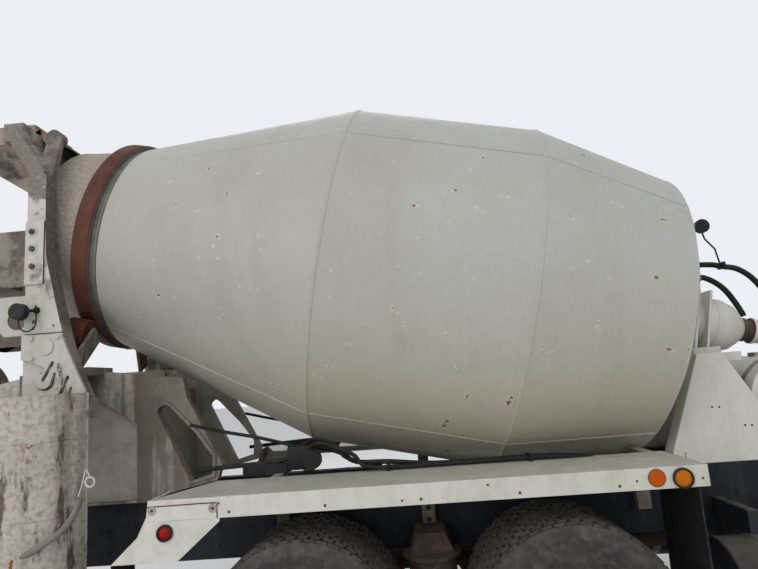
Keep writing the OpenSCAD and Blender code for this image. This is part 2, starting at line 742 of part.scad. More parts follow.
gearbox_r = 190;
shaft_r = 60;
flange_half = 210;
flange_near_s = flange_s + 115;
flange_far_s = flange_near_s + 95;
dome_s = flange_far_s + 130;
module gearbox() {
    color(paint) {
        on_drum_axis() {
            translate([0, 0, flange_s - 50]) cylinder(h = 60, r = shaft_r);
            translate([0, 0, flange_s + 6]) cylinder(h = 110, r = 150);
            for (s = [flange_near_s, flange_far_s - 16])
                translate([-flange_half, -flange_half, s]) cube([2 * flange_half, 2 * flange_half, 16]);
            translate([0, 0, flange_near_s]) cylinder(h = 95, r = 165);
            rotate_extrude() polygon([
                [0, flange_far_s - 1], [gearbox_r, flange_far_s - 1], [gearbox_r, flange_far_s + 45],
                [gearbox_r - 7, flange_far_s + 48], [gearbox_r - 7, flange_far_s + 66],
                [gearbox_r - 2, flange_far_s + 70], [gearbox_r - 2, dome_s],
                [gearbox_r - 32, dome_s + 80], [gearbox_r - 73, dome_s + 130],
                [80, dome_s + 165], [0, dome_s + 165]]);
        }
        block([front_ped_x + 80, -230, front_top_z + seat_gap], [front_ped_x + 260, 230, front_top_z + 42]);
        block([hose_a[0][0] - 30, 20, hose_b[0][2] - 153], [hose_a[0][0] - 6, 80, hose_a[0][2] + 30]);
        for (h = [hose_a[0], hose_b[0]]) {
            rod(h + [-27, -6, 0], h + [-27, 30, 0], 16);
            rod(h + [-27, -6, 0], h + [-4 * seat_gap, -6, 0], 13);
        }
    }
}

motor_s = dome_s + 165 + seat_gap;
module drive_motor() {
    color(rust) on_drum_axis() translate([0, 0, motor_s]) {
        cylinder(h = 30, r = 84);
        translate([0, 0, 29]) cylinder(h = 40, r = 66);
        translate([0, 0, 68]) cylinder(h = 24, r = 92);
        translate([0, 0, 91]) cylinder(h = 120, r = 82);
    }
}

tank_x = weld_x + 2880;
tank_z = deck_z + water_r + 30;
module water_tank() {
    color(paint) {
        cross_rod(tank_x, tank_z, -water_l / 2, water_l / 2, water_r);
        both_sides() cross_rod(tank_x, tank_z, -water_l / 2 - 40, -water_l / 2 + 1, water_r - 60);
        both_sides() block([tank_x - 200, -rail_y + 20, deck_z + seat_gap],
            [tank_x + 200, -rail_inner_y, deck_z + 130]);
    }
}

// Steel pipes from the fittings down to the front pedestal on the driver's side.
function pipe_route(h, y) = [
    h + [-27, 80 + seat_gap, 0], [h[0] - 27, y, h[2]], [h[0] - 27, y, front_top_z + seat_gap]
];
module cord(route, r) {
    for (i = [1:len(route) - 1]) rod(route[i - 1], route[i], r);
    for (i = [1:len(route) - 2]) translate(route[i]) sphere(r = r + 0.4);
}
module hoses() {
    color(rubber) {
        cord([for (p = hose_a) p + [0, -6, 0]], hose_r);
        cord([for (i = [2:7]) hose_a[i] + [-14, -44, -8 - i]], 9);
        cord([for (p = hose_b) p + [0, -6, 0]], hose_r);
    }
    color(steel) {
        cord(pipe_route(hose_a[0], 244), pipe_r);
        cord(pipe_route(hose_b[0], 280), pipe_r);
    }
    color(dark) block([hose_end_x - 40, -rail_y + 10, rail_top + seat_gap],
        [hose_end_x + 40, rail_y - 10, rail_top + 12]);
}

ped_front_x = weld_x - 1040;
ped_rear_x = frame_rear_x + 60;
ring_x = weld_x + ring_mid_s * cos(drum_tilt);
ring_z = drum_z - ring_mid_s * sin(drum_tilt);
ped_t = 12;
ped_y = rail_y + 20;
base_z = deck_z + seat_gap;
saddle_z = drum_z - 577;
ped_h = 869.4;
// Height of a point that is drawn h above the deck on a pedestal of the height ped_h.
function ped_z(h) = base_z + h * (saddle_z - base_z) / ped_h;
// The slanted slot in the pedestal's side, grown by g.
function ped_slot(g) = concat(
    arc([ped_front_x - 132, ped_z(547.4)], 52 + g, 170, 45, 6),
    [[ped_front_x + 72 + g, ped_z(404.4) + g / 2], [ped_front_x + 178 + g, ped_z(257.4) + g / 2],
        [ped_front_x + 172 + g, ped_z(149.4) - g], [ped_front_x + 28 - g / 2, ped_z(111.4) - g]]);
shell_t = 50;
module rear_pedestal() {
    front_edge = [
        [ped_front_x - 15, ped_z(764.4)], [ped_front_x + 8, ped_z(640.4)], [ped_front_x + 138, ped_z(389.4)],
        [ped_front_x + 232, ped_z(204.4)], [ped_front_x + 200, ped_z(109.4)],
        [ped_front_x - 150, base_z + 40], [ped_front_x - 150, base_z]
    ];
    back_corner = [ped_front_x - 716, ped_z(ped_h - 1)];
    color(steel) {
        both_sides() {
            side_plate(-ped_y, -ped_y + ped_t) difference() {
                polygon(concat([[ped_rear_x, saddle_z], back_corner], front_edge, [[ped_rear_x, base_z]]));
                polygon(ped_slot(0));
            }
            side_plate(-ped_y - shell_t, -ped_y + 1) difference() {
                polygon(concat([back_corner], front_edge, [[ped_front_x - 323, base_z],
                    [ped_front_x - 321, ped_z(490.4)], [ped_front_x - 675, ped_z(736.4)]]));
                polygon(ped_slot(0));
            }
            side_plate(-ped_y - shell_t - 16, -ped_y - shell_t + 1) difference() {
                polygon(ped_slot(18));
                polygon(ped_slot(0));
            }
            block([ped_rear_x, -ped_y - 36, base_z], [ped_front_x - 315, -ped_y + 1, base_z + 14]);
        }
        for (x = [ped_rear_x, ped_front_x - 300])
            cross_plate(x, x + ped_t)
                translate([-ped_y, base_z]) square([2 * ped_y, saddle_z - base_z - 169.4]);
        both_sides() block([ped_rear_x, -post_y + post_t + seat_gap, saddle_z - 160],
            [ped_rear_x + 300, -ped_y + 1, saddle_z - 25]);
        both_sides() roller_bracket();
    }
}
roller_x = ring_x - (ring_r + roller_r) * cos(roller_angle) * sin(drum_tilt);
roller_z = ring_z - (ring_r + roller_r) * cos(roller_angle) * cos(drum_tilt);
roller_y = (ring_r + roller_r) * sin(roller_angle);
module roller_bracket() {
    block([ped_rear_x, -roller_y - 190, saddle_z - 50], [ped_rear_x + 420, -roller_y + 110, saddle_z]);
    on_roller() for (end = [-1, 1]) translate([0, 0, end * (ring_w / 2 + 45)])
        translate([-30, -60, -12]) cube([300, 120, 24]);
}
module on_roller() {
    on_drum_axis() rotate([0, 0, roller_angle]) translate([0, 0, ring_mid_s])
        translate([ring_r + roller_r + 0.5, 0, 0]) children();
}
module drum_rollers() {
    color(rust) both_sides() on_roller() {
        cylinder(h = ring_w + 30, r = roller_r, center = true);
        cylinder(h = 2 * (ring_w / 2 + 33 - seat_gap), r = 40, center = true);
    }
}

post_w = 118;
// Places a side view drawn from the rear corner of a post's top.
module on_post() {
    translate([post_rear_x, post_top_z]) children();
}
arm_foot = [post_rear_x + 75, -post_y + 60, post_top_z - 20];
apron_pad = [weld_x - 1940, hopper_top_z - 115];
hopper_pad = [weld_x - 2190, hopper_top_z - 90];
module rear_posts() {
    color(paint) both_sides() {
        side_plate(-post_y, -post_y + post_t) on_post() polygon([
            [0, -1550], [405, -1550], [400, -1450], [303, -1230], [246, -1044], [190, -820], [128, -550],
            [post_w, -325], [post_w, 0], [0, 0]]);
        bar(arm_foot, [apron_pad[0], -apron_half_w - 50, apron_pad[1]], 84, 84);
        side_plate(-apron_half_w - 90, -apron_half_w - seat_gap) translate(apron_pad) circle(r = 52);
        bar(arm_foot, [hopper_pad[0], -hopper_half_w - 50, hopper_pad[1]], 60, 120);
        side_plate(-hopper_half_w - 80, -hopper_half_w - seat_gap)
            translate(hopper_pad - [70, 60]) square([140, 130]);
        side_plate(-post_y + post_t - 40, -post_y + post_t - 28) on_post() difference() {
            polygon([[20, -1020], [20, -770], [-330, -770], [-330, -830], [-180, -1020]]);
            translate([-95, -920]) circle(r = 62);
        }
        side_plate(-post_y - 14, -post_y + 1) on_post() translate([0, -717]) square([post_w, 402]);
    }
}

hook_table = [
    // lobe x, lobe z, lobe radius, slot end x, slot end z
    [140, -1313, 47, 196, -1210],
    [243, -1412, 47, 292, -1302],
    [345, -1500, 43, 372, -1410]
];
hook_slot_r = 11;
hook_t = 22;
module hook_plates() {
    color(steel) both_sides() {
        side_plate(-post_y - hook_t, -post_y - seat_gap) on_post() difference() {
            union() {
                polygon([[0, -1028], [246, -1044], [355, -1293], [399, -1384], [401, -1505], [345, -1450],
                    [290, -1360], [200, -1275], [140, -1230], [60, -1190], [0, -1180]]);
                for (h = hook_table) {
                    translate([h[0], h[1]]) circle(r = h[2]);
                    slot([h[0] + 20, h[1] + 10], [h[3] - 10, h[4] - 10], h[2] - 14);
                }
            }
            for (h = hook_table) slot([h[0], h[1] + 6], [h[3], h[4]], hook_slot_r);
            for (h = [[190, -1338], [292, -1428]]) slot(h, h + [22, 62], 9);
        }
        side_plate(-post_y - hook_t - 8, -post_y - hook_t + 1)
            on_post() translate([155, -1111]) circle(r = 48);
        for (x = [rack_x - 90, rack_x + 60])
            block([x, -rack_y - 12, hang_z - 40], [x + 30, -post_y - seat_gap, hang_z - 10 - seat_gap]);
    }
}

rack_x = post_rear_x + 164;
rack_y = post_y + 60;
extension_z = 650;
module trough_section(r) {
    difference() {
        circle(r = r, $fn = 72);
        circle(r = r - chute_t, $fn = 72);
        translate([-2 * r, 0]) square([4 * r, 2 * r]);
    }
}
lip_r = 6;
hang_z = extension_z + extension_l - 60;
module extension_chutes() {
    color(paint) both_sides() for (i = [0, 1]) {
        r = chute_r + 40 - i * (2 * lip_r + seat_gap);
        translate([rack_x, -rack_y, extension_z]) linear_extrude(extension_l) {
            trough_section(r);
            for (side = [-1, 1]) translate([side * r, 0]) circle(r = lip_r);
        }
        if (i == 1) rod([rack_x - r, -rack_y, hang_z], [rack_x + r, -rack_y, hang_z], 10);
    }
}

hopper_half_w = 520;
hopper_front_x = mouth_x - 108;
hopper_rear_x = mouth_x - 700;
apron_half_w = 450;
spout_half_w = 280;
spout_z = drum_z + 653;
apron_foot = [hopper_front_x + 370, drum_z + 919];
// Side view of the hopper, in by t on each wall; the inner one runs on past the rim and the spout.
function hopper_side(t) = [
    [hopper_rear_x + t, hopper_top_z + 2 * t], [hopper_front_x - t, hopper_top_z + 2 * t],
    [hopper_front_x - t, hopper_top_z - 60], [mouth_x - 95 - t, hopper_top_z - 190],
    [mouth_x + 150 - t, spout_z - 4 * t], [mouth_x - 40 + 4 * t, spout_z - 60 - 2 * t],
    [hopper_rear_x + t, hopper_top_z - 150 + t / 2]
];
// Front view of the hopper, in by t on each wall.
function hopper_section(t) = [
    [-hopper_half_w + t, hopper_top_z + 20], [-hopper_half_w + t, hopper_top_z - 130],
    [-spout_half_w + t, hopper_top_z - 290], [-spout_half_w + t, spout_z - 150],
    [spout_half_w - t, spout_z - 150], [spout_half_w - t, hopper_top_z - 290],
    [hopper_half_w - t, hopper_top_z - 130], [hopper_half_w - t, hopper_top_z + 20]
];
module charge_hopper() {
    color(paint) {
        difference() {
            hopper_body(0);
            hopper_body(fender_t);
        }
        apron();
    }
}
// The splash apron: a sheet that slopes from the hopper down to the drum's neck, cut round the neck.
module apron() {
    difference() {
        union() {
            side_plate(-apron_half_w, apron_half_w) polygon([[hopper_front_x - 5, hopper_top_z],
                apron_foot, apron_foot - [8, 10], [hopper_front_x - 5, hopper_top_z - 14]]);
            both_sides() side_plate(-apron_half_w, -apron_half_w + 12) polygon([
                [hopper_front_x - 5, hopper_top_z], apron_foot, apron_foot - [40, 36],
                apron_foot + [-310, 104], [hopper_front_x - 5, hopper_top_z - 60]]);
        }
        on_drum_axis() translate([0, 0, mouth_s - 100]) cylinder(h = 500 + neck_l, r = ring_seat_r + 12);
    }
}
module hopper_body(t) {
    intersection() {
        side_plate(-hopper_half_w, hopper_half_w) polygon(hopper_side(t));
        cross_plate(hopper_rear_x - 10, mouth_x + 300) polygon(hopper_section(t));
    }
}

collector_top_z = drum_z + 253;
collector_front_x = mouth_x - 45;
collector_rear_x = pivot_x - 350;
collector_half_w = 600;
outlet_z = drum_z - 357;
outlet_half = 180;
collector_beam_z = [drum_z - 37, drum_z + 333];
// Side view of the collector, in by t on each wall; the inner one runs on past its three openings.
function collector_side(t) = [
    [collector_rear_x + t, collector_top_z + 2 * t], [collector_front_x + t, collector_top_z + 2 * t],
    [collector_front_x + t, outlet_z + 110 + t], [pivot_x + outlet_half - t, outlet_z - 2 * t],
    [pivot_x - outlet_half + t, outlet_z - 2 * t], [collector_rear_x + t, outlet_z + 370]
];
// Front view of the collector, in by t on each wall.
function collector_section(t) = [
    [-collector_half_w + t, collector_top_z + 20], [-collector_half_w + t, outlet_z + 390],
    [-outlet_half + t, outlet_z], [-outlet_half + t, outlet_z - 20], [outlet_half - t, outlet_z - 20],
    [outlet_half - t, outlet_z],
    [collector_half_w - t, outlet_z + 390], [collector_half_w - t, collector_top_z + 20]
];
module collector_body(t) {
    intersection() {
        side_plate(-collector_half_w, collector_half_w) polygon(collector_side(t));
        cross_plate(collector_rear_x - 10, collector_front_x + 30) polygon(collector_section(t));
    }
}
module discharge_collector() {
    inner_y = -post_y + post_t + seat_gap;
    color(steel) difference() {
        union() {
            difference() {
                collector_body(0);
                collector_body(chute_t);
            }
            both_sides() {
                block([collector_rear_x + 60, inner_y, collector_beam_z[0]],
                    [post_rear_x + 100, inner_y + 24, collector_beam_z[1]]);
                difference() {
                    block([collector_rear_x + 60, inner_y, collector_beam_z[0]],
                        [collector_front_x - 60, -collector_half_w + 1, collector_beam_z[1]]);
                    block([collector_rear_x + 50, inner_y + 8, collector_beam_z[0] + 8],
                        [collector_front_x - 50, -collector_half_w - 8, collector_beam_z[1] - 8]);
                }
            }
        }
        on_drum_axis() translate([0, 0, mouth_s - 30]) cylinder(h = 2 * mouth_r, r = mouth_r + 38);
    }
}

pin_r = 45;
bracket_z = 1130;
swing_pin_h = 280;
turntable_h = 330;
module chute_bracket() {
    color(dark) {
        block([pivot_x - 70, -100, 920], [frame_rear_x - seat_gap, 100, bracket_z]);
        block([frame_rear_x - 30, -rail_y, rail_z], [frame_rear_x - seat_gap, rail_y, rail_top]);
        translate([pivot_x, 0, bracket_z - 1]) cylinder(h = swing_pin_h + 1, r = pin_r);
    }
}

hinge_pin_r = 25;
module chute_turntable() {
    color(steel) {
        translate([pivot_x, 0, bracket_z + 0.5]) difference() {
            cylinder(h = turntable_h, r = pin_r + 40);
            translate([0, 0, -1]) cylinder(h = swing_pin_h + 3, r = pin_r + running_fit);
        }
        both_sides() side_plate(-150, -125) polygon([
            [pivot_x - 90, bracket_z + 300], [pivot_x + 90, bracket_z + 300], [pivot_x + 45, hinge_z + 40],
            [pivot_x - 45, hinge_z + 40]]);
        block([pivot_x - 90, -150, bracket_z + turntable_h - 40],
            [pivot_x + 90, 150, bracket_z + turntable_h]);
        cross_rod(pivot_x, hinge_z, -150, 150, hinge_pin_r);
        for (side = [-1, 1]) translate([0, side * 26, 0]) side_plate(-6, 6) polygon([
            [pivot_x - pin_r - 20, bracket_z + 20], [barrel_base[0] - 20, barrel_base[2] - 24],
            [barrel_base[0] - 24, barrel_base[2] + 20], [pivot_x - pin_r - 20, bracket_z + 150]]);
        cross_rod(barrel_base[0], barrel_base[2], -32, 32, lift_pin_r);
    }
}

// Places its children on the parked main chute: x runs from the swing axis to the tip.
module on_chute() {
    translate([pivot_x, 0, hinge_z]) rotate([0, -chute_pitch, 0]) mirror([1, 0, 0]) children();
}
chute_floor = 70;
rim_z = chute_floor + chute_r;
chute_stack_h = rim_z + chute_gap + chute_r;
chute_tip = (chute_reach - chute_stack_h * sin(chute_pitch)) / cos(chute_pitch);
fold_hinge = [chute_tip + chute_gap / 2, rim_z + chute_gap / 2];
fold_pin_r = 10;
lug_x = 560;
lug_z = 30;
lug_hole_r = 20;
lug_r = 32;
lift_pin_r = 12;
module trough(x0, x1, r) {
    translate([x0, 0, 0]) rotate([90, 0, 90]) linear_extrude(x1 - x0) trough_section(r);
}
module main_chute() {
    color(paint) on_chute() {
        translate([0, 0, rim_z]) trough(-chute_head, chute_tip, chute_r);
        difference() {
            side_plate(-110, 110)
                polygon([[-60, 0], [-60, chute_floor + 30], [60, chute_floor + 30], [60, 0], [0, -40]]);
            translate([0, 0, rim_z]) rotate([0, 90, 0])
                cylinder(h = 2 * chute_reach, r = chute_r - chute_t / 2, center = true);
            cross_rod(0, 0, -200, 200, hinge_pin_r + running_fit);
        }
        difference() {
            side_plate(-12, 12) {
                translate([lug_x, lug_z]) circle(r = lug_r);
                polygon([[lug_x - 60, chute_floor + 3], [lug_x - lug_r + 2, lug_z],
                    [lug_x + lug_r - 2, lug_z], [lug_x + 60, chute_floor + 3]]);
            }
            cross_rod(lug_x, lug_z, -20, 20, lug_hole_r);
        }
        both_sides() {
            side_plate(-chute_r - 9, -chute_r - 1) polygon([
                [chute_tip - 80, rim_z - 40], [chute_tip - 20, rim_z - 40],
                [fold_hinge[0] + 20, fold_hinge[1]], [fold_hinge[0], fold_hinge[1] + 20],
                [chute_tip - 80, rim_z]]);
            block([chute_tip - 80, -chute_r - 5, rim_z - 40], [chute_tip - 20, -chute_r + 4, rim_z - 2]);
            cross_rod(fold_hinge[0], fold_hinge[1], -chute_r - 24, -chute_r - 1, fold_pin_r);
        }
    }
}

module fold_chute() {
    color(paint) on_chute() {
        translate([0, 0, rim_z + chute_gap]) rotate([180, 0, 0])
            trough(chute_tip - fold_l, chute_tip, chute_r);
        both_sides() {
            difference() {
                side_plate(-chute_r - 22, -chute_r - 11) polygon([[chute_tip - 160, rim_z + 14],
                    [chute_tip - 160, rim_z + 60], [fold_hinge[0], fold_hinge[1] + 22],
                    [fold_hinge[0] + 22, fold_hinge[1]], [fold_hinge[0], fold_hinge[1] - 20]]);
                cross_rod(fold_hinge[0], fold_hinge[1], -chute_r - 30, -chute_r, fold_pin_r + running_fit);
            }
            side_plate(-chute_r - 12, -chute_r + 4) polygon([
                [chute_tip - 160, rim_z + 14], [chute_tip - 160, rim_z + 60], [chute_tip - 110, rim_z + 46],
                [chute_tip - 110, rim_z + 14]]);
        }
    }
}

barrel_base = [pivot_x - 135, 0, hinge_z - 435];
lift_eye = [pivot_x - lug_x * cos(chute_pitch) - lug_z * sin(chute_pitch), 0,
    hinge_z - lug_x * sin(chute_pitch) + lug_z * cos(chute_pitch)];
lift_l = norm(lift_eye - barrel_base);
lift_dir = (lift_eye - barrel_base) / lift_l;
barrel_l = 330;
rod_in = 200;
lift_rod_r = 20;
module lift_barrel() {
    color(dark) difference() {
        union() {
            rod(barrel_base, barrel_base + lift_dir * barrel_l, 38);
            cross_rod(barrel_base[0], barrel_base[2], -18, 18, 32);
        }
        rod(barrel_base + lift_dir * 42, barrel_base + lift_dir * (barrel_l + 10), lift_rod_r + running_fit);
        cross_rod(barrel_base[0], barrel_base[2], -60, 60, lift_pin_r + running_fit);
        for (side = [-1, 1]) translate([barrel_base[0], side * 38, barrel_base[2]])
            cube([90, 40, 90], center = true);
    }
}
module lift_rod() {
    color(steel) {
        rod(barrel_base + lift_dir * rod_in, lift_eye - lift_dir * 50, lift_rod_r);
        clevis_angle = atan2(lift_dir[2], -lift_dir[0]);
        translate(lift_eye) rotate([0, clevis_angle, 0]) {
            block([42, -32, -24], [66, 32, 24]);
            both_sides() side_plate(-32, -20) {
                circle(r = 24);
                translate([0, -24]) square([44, 48]);
            }
        }
        cross_rod(lift_eye[0], lift_eye[2], -32, 32, lift_pin_r);
    }
}

function drum_profile(t) = [
    [0, nose_s - t], [drum_plate_r - t, nose_s - t], [drum_front_r - t, head_s - t * 0.4],
    [drum_r - t, drum_belly_l], [drum_r - t, 0], [drum_throat_r - t, -drum_rear_l],
    [ring_seat_r - t, -drum_rear_l - 8], [ring_seat_r - t, ring_mid_s - ring_w / 2],
    [mouth_r - t, mouth_s]
];
module drum_shell() {
    color(paint) on_drum_axis() {
        rotate_extrude($fn = 96) difference() {
            polygon(concat(drum_profile(0), [[0, mouth_s]]));
            polygon(concat(drum_profile(drum_t), [[mouth_r - drum_t, mouth_s - 1], [0, mouth_s - 1]]));
        }
        translate([0, 0, nose_s - 1]) difference() {
            cylinder(h = flange_s - nose_s + 1, r = 200);
            translate([0, 0, flange_s - nose_s - 58]) cylinder(h = 70, r = shaft_r + running_fit);
        }
    }
}
module drum_ring() {
    color(rust) on_drum_axis() translate([0, 0, ring_mid_s - ring_w / 2]) difference() {
        cylinder(h = ring_w, r = ring_r, $fn = 96);
        translate([0, 0, -1]) cylinder(h = ring_w + 2, r = ring_seat_r + seat_gap, $fn = 96);
    }
}

module knuckle(side) {
    color(dark) on_side(side) {
        for (z = [front_tyre_r - knuckle_h / 2 - 35, front_tyre_r + knuckle_h / 2 - 15])
            translate([front_axle_x, -kingpin_y, z]) cylinder(h = 50, r = 62);
        translate([front_axle_x, -kingpin_y, front_tyre_r - knuckle_h / 2]) cylinder(h = knuckle_h, r = 30);
        block([front_axle_x - 60, -kingpin_y - 110, front_tyre_r - knuckle_h / 2 - 35],
            [front_axle_x + 60, -kingpin_y - 70, front_tyre_r + knuckle_h / 2 + 35]);
        for (z = [front_tyre_r - knuckle_h / 2 - 35, front_tyre_r + knuckle_h / 2 - 15])
            block([front_axle_x - 60, -kingpin_y - 80, z], [front_axle_x + 60, -kingpin_y, z + 50]);
        cross_rod(front_axle_x, front_tyre_r, -kingpin_y - 260, -kingpin_y - 100, spindle_r);
    }
}
module knuckle_left() { knuckle(1); }
module knuckle_right() { knuckle(-1); }

// Half of a tyre's section as radius and distance from its middle.
function tyre_half(r, w) = [
    [bead_r + seat_gap, w * 0.36], [bead_r + 22, w * 0.42], [(bead_r + r) / 2, w * 0.5],
    [r - 55, w * 0.47], [r - 12, w * 0.41], [r, w * 0.36]
];
module tyre_ring(r, w) {
    half = tyre_half(r, w);
    n = len(half) - 1;
    rotate_extrude($fn = 72) polygon(concat(half, [for (i = [n:-1:0]) [half[i][0], -half[i][1]]]));
}
module front_tyre(side) {
    color(rubber) on_axle(front_axle_x, front_track / 2, front_tyre_r, side)
        tyre_ring(front_tyre_r, front_tyre_w);
}
module front_tyre_left() { front_tyre(1); }
module front_tyre_right() { front_tyre(-1); }

// A front wheel: barrel, dished disc near the outer side, and hub.
module front_wheel(side) {
    barrel = front_tyre_w * 0.40;
    hub_y = front_track / 2 - kingpin_y - 115;
    color(paint) on_axle(front_axle_x, front_track / 2, front_tyre_r, side) rotate_extrude($fn = 72)
        polygon([[spindle_r + running_fit, -hub_y], [110, -hub_y], [110, 40], [170, 90], [bead_r - 30, 90],
            [bead_r - 14, 60], [bead_r - 14, -barrel], [bead_r, -barrel], [bead_r, barrel],
            [bead_r - 14, barrel], [bead_r - 30, 106], [165, 106], [95, 60], [80, 150], [0, 150], [0, 100],
            [spindle_r + running_fit, 100]]);
}
module front_wheel_left() { front_wheel(1); }
module front_wheel_right() { front_wheel(-1); }

module dual_tyres(i, side) {
    color(rubber) on_axle(tandem_axles_x[i], rear_track / 2, rear_tyre_r, side)
        for (d = [-1, 1]) translate([0, 0, d * dual_spacing / 2]) tyre_ring(rear_tyre_r, rear_tyre_w);
}
module tyres_front_left() { dual_tyres(1, 1); }
module tyres_front_right() { dual_tyres(1, -1); }
module tyres_rear_left() { dual_tyres(0, 1); }
module tyres_rear_right() { dual_tyres(0, -1); }

// Two rims bolted face to face on one hub.
module dual_wheels(i, side) {
    half_w = rear_tyre_w * 0.40;
    near = dual_spacing / 2 - half_w;
    far = dual_spacing / 2 + half_w;
    color(paint) on_axle(tandem_axles_x[i], rear_track / 2, rear_tyre_r, side) rotate_extrude($fn = 72)
        polygon([[spindle_r + running_fit, -110], [120, -110], [120, -14], [180, -14], [bead_r - 40, -near],
            [bead_r - 14, -near - 20], [bead_r - 14, -far], [bead_r, -far], [bead_r, -near],
            [bead_r - 20, -10], [bead_r - 20, 10], [bead_r, near], [bead_r, far], [bead_r - 14, far],
            [bead_r - 14, near + 20], [bead_r - 40, near], [180, 14], [130, 14], [110, 60], [105, 200],
            [90, 215], [0, 215], [0, 160], [spindle_r + running_fit, 160]]);
}
module wheels_front_left() { dual_wheels(1, 1); }
module wheels_front_right() { dual_wheels(1, -1); }
module wheels_rear_left() { dual_wheels(0, 1); }
module wheels_rear_right() { dual_wheels(0, -1); }

module door(side) {
    color(paint) on_side(side) {
        difference() {
            intersection() {
                cab_walls();
                side_plate(-cab_y - 10, -cab_y + 180) door_outline(0);
            }
            side_plate(-cab_y - 20, -cab_y + 200) door_window(0);
        }
        for (z = door_hinges_z) translate([0, 0, z - door_knuckle_h / 2]) difference() {
            union() {
                translate([door_hinge_x, -door_hinge_y, 0]) cylinder(h = door_knuckle_h, r = door_knuckle_r);
                block([door_hinge_x - 80, -door_hinge_y - 5, 0],
                    [door_hinge_x - 8, -cab_y + 4, door_knuckle_h]);
            }
            translate([door_hinge_x, -door_hinge_y, -1])
                cylinder(h = door_knuckle_h + 2, r = door_pin_r + running_fit);
        }
        block([door_rear_x + 60, -cab_y - 28, belt_z - 130], [door_rear_x + 220, -cab_y + 1, belt_z - 105]);
        mirror_arm();
    }
}
module mirror_arm() {
    elbow = [door_front_x - 20, -cab_y - 240, belt_z - 60];
    rod([door_front_x - 60, -cab_y + 5, belt_z - 180], elbow, 12);
    rod(elbow, elbow + [0, 0, 540], 12);
    translate(elbow) sphere(r = 15);
    block(elbow + [-30, -80, 100], elbow + [30, 90, 480]);
}
module door_left() { door(1); }
module door_right() { door(-1); }

module door_glass(side) {
    color(glass) on_side(side) intersection() {
        difference() {
            cab_body(cab_wall / 2 - glass_t / 2);
            cab_body(cab_wall / 2 + glass_t / 2);
        }
        side_plate(-cab_y - 20, -cab_y + 200) door_window(-seat_gap);
    }
}
module door_glass_left() { door_glass(1); }
module door_glass_right() { door_glass(-1); }

hood_half_rear = 880;
nose_z = 860;
hood_hinge = [nose_x + 20, nose_z - 30];
hood_pin_r = 12;
hood_half_nose = 560;
hood_bottom_z = arch_top_z - 10;
function hood_side(t) = concat(
    [[hood_rear_x - (t > 0 ? 10 : 0), hood_bottom_z - t], [hood_rear_x - (t > 0 ? 10 : 0), hood_rear_z - t]],
    arc([nose_x - 150, hood_nose_z - 150], 150 - t, 80, 5, 5),
    [[nose_x - t, nose_z - t * 4], [nose_x - 40 - t, nose_z - t * 4], [nose_x - 40 - t, hood_bottom_z - t]]);
function hood_plan(t) = [
    [hood_rear_x - 20, -hood_half_rear + t], [nose_x - 260, -hood_half_nose - 40 + t],
    [nose_x + 10, -hood_half_nose + 20 + t], [nose_x + 10, hood_half_nose - 20 - t],
    [nose_x - 260, hood_half_nose + 40 - t], [hood_rear_x - 20, hood_half_rear - t]
];
module hood_body(t) {
    intersection() {
        side_plate(-cab_y, cab_y) polygon(hood_side(t));
        translate([0, 0, nose_z - 360]) linear_extrude(hood_rear_z) polygon(hood_plan(t));
    }
}
hood_fender_y = 1205;
module hood() {
    color(paint) {
        difference() {
            hood_body(0);
            hood_body(hood_t);
            cross_plate(nose_x - 60, nose_x + 20)
                translate([-grille_w / 2, grille_z]) square([grille_w, grille_h]);
        }
        both_sides() side_plate(-hood_fender_y, -hood_half_nose + 30) difference() {
            polygon([[hood_rear_x, arch_top_z - 300], [hood_rear_x, cab_z + 80],
                [hood_rear_x + 60, arch_top_z - 10], [front_axle_x - 250, arch_top_z + 80],
                [front_axle_x + 250, arch_top_z + 80], [front_axle_x + 620, arch_top_z - 10],
                [nose_x - 20, arch_top_z - 140], [nose_x - 20, arch_top_z - 400],
                [front_axle_x + arch_r - 60, arch_top_z - 400]]);
            translate([front_axle_x, front_tyre_r]) circle(r = arch_r, $fn = 96);
        }
        both_sides() side_plate(-rail_inner_y + 6, -rail_inner_y + 40) difference() {
            polygon([[nose_x - hood_t, hood_hinge[1] - 18], [hood_hinge[0] + 18, hood_hinge[1] - 18],
                [hood_hinge[0] + 18, hood_hinge[1] + 18], [nose_x, nose_z + 40],
                [nose_x - hood_t, nose_z + 40]]);
            translate(hood_hinge) circle(r = hood_pin_r + running_fit);
        }
    }
}

grille_w = 860;
grille_h = 620;
grille_z = 960;
headlamp_y = 900;
module grille_headlamps() {
    color(steel) {
        difference() {
            cross_plate(nose_x - 50, nose_x + 12) translate([-grille_w / 2 + 1, grille_z + 1])
                square([grille_w - 2, grille_h - 2]);
            cross_plate(nose_x - 60, nose_x + 20) translate([-grille_w / 2 + 50, grille_z + 50])
                square([grille_w - 100, grille_h - 100]);
        }
        for (i = [1:7]) cross_plate(nose_x - 40, nose_x)
            translate([-grille_w / 2 + 40, grille_z + i * grille_h / 8 - 8]) square([grille_w - 80, 16]);
        both_sides() cross_plate(nose_x - 20 + seat_gap, nose_x + 12) difference() {
            translate([-headlamp_y - 170, 850]) square([340, 180]);
            for (y = [-headlamp_y - 80, -headlamp_y + 80]) translate([y, 940]) circle(r = 68);
        }
        both_sides() for (y = [-headlamp_y - 80, -headlamp_y + 80])
            translate([nose_x - 20 + seat_gap, y, 940]) rotate([0, 90, 0]) cylinder(h = 22, r = 67.7);
    }
}

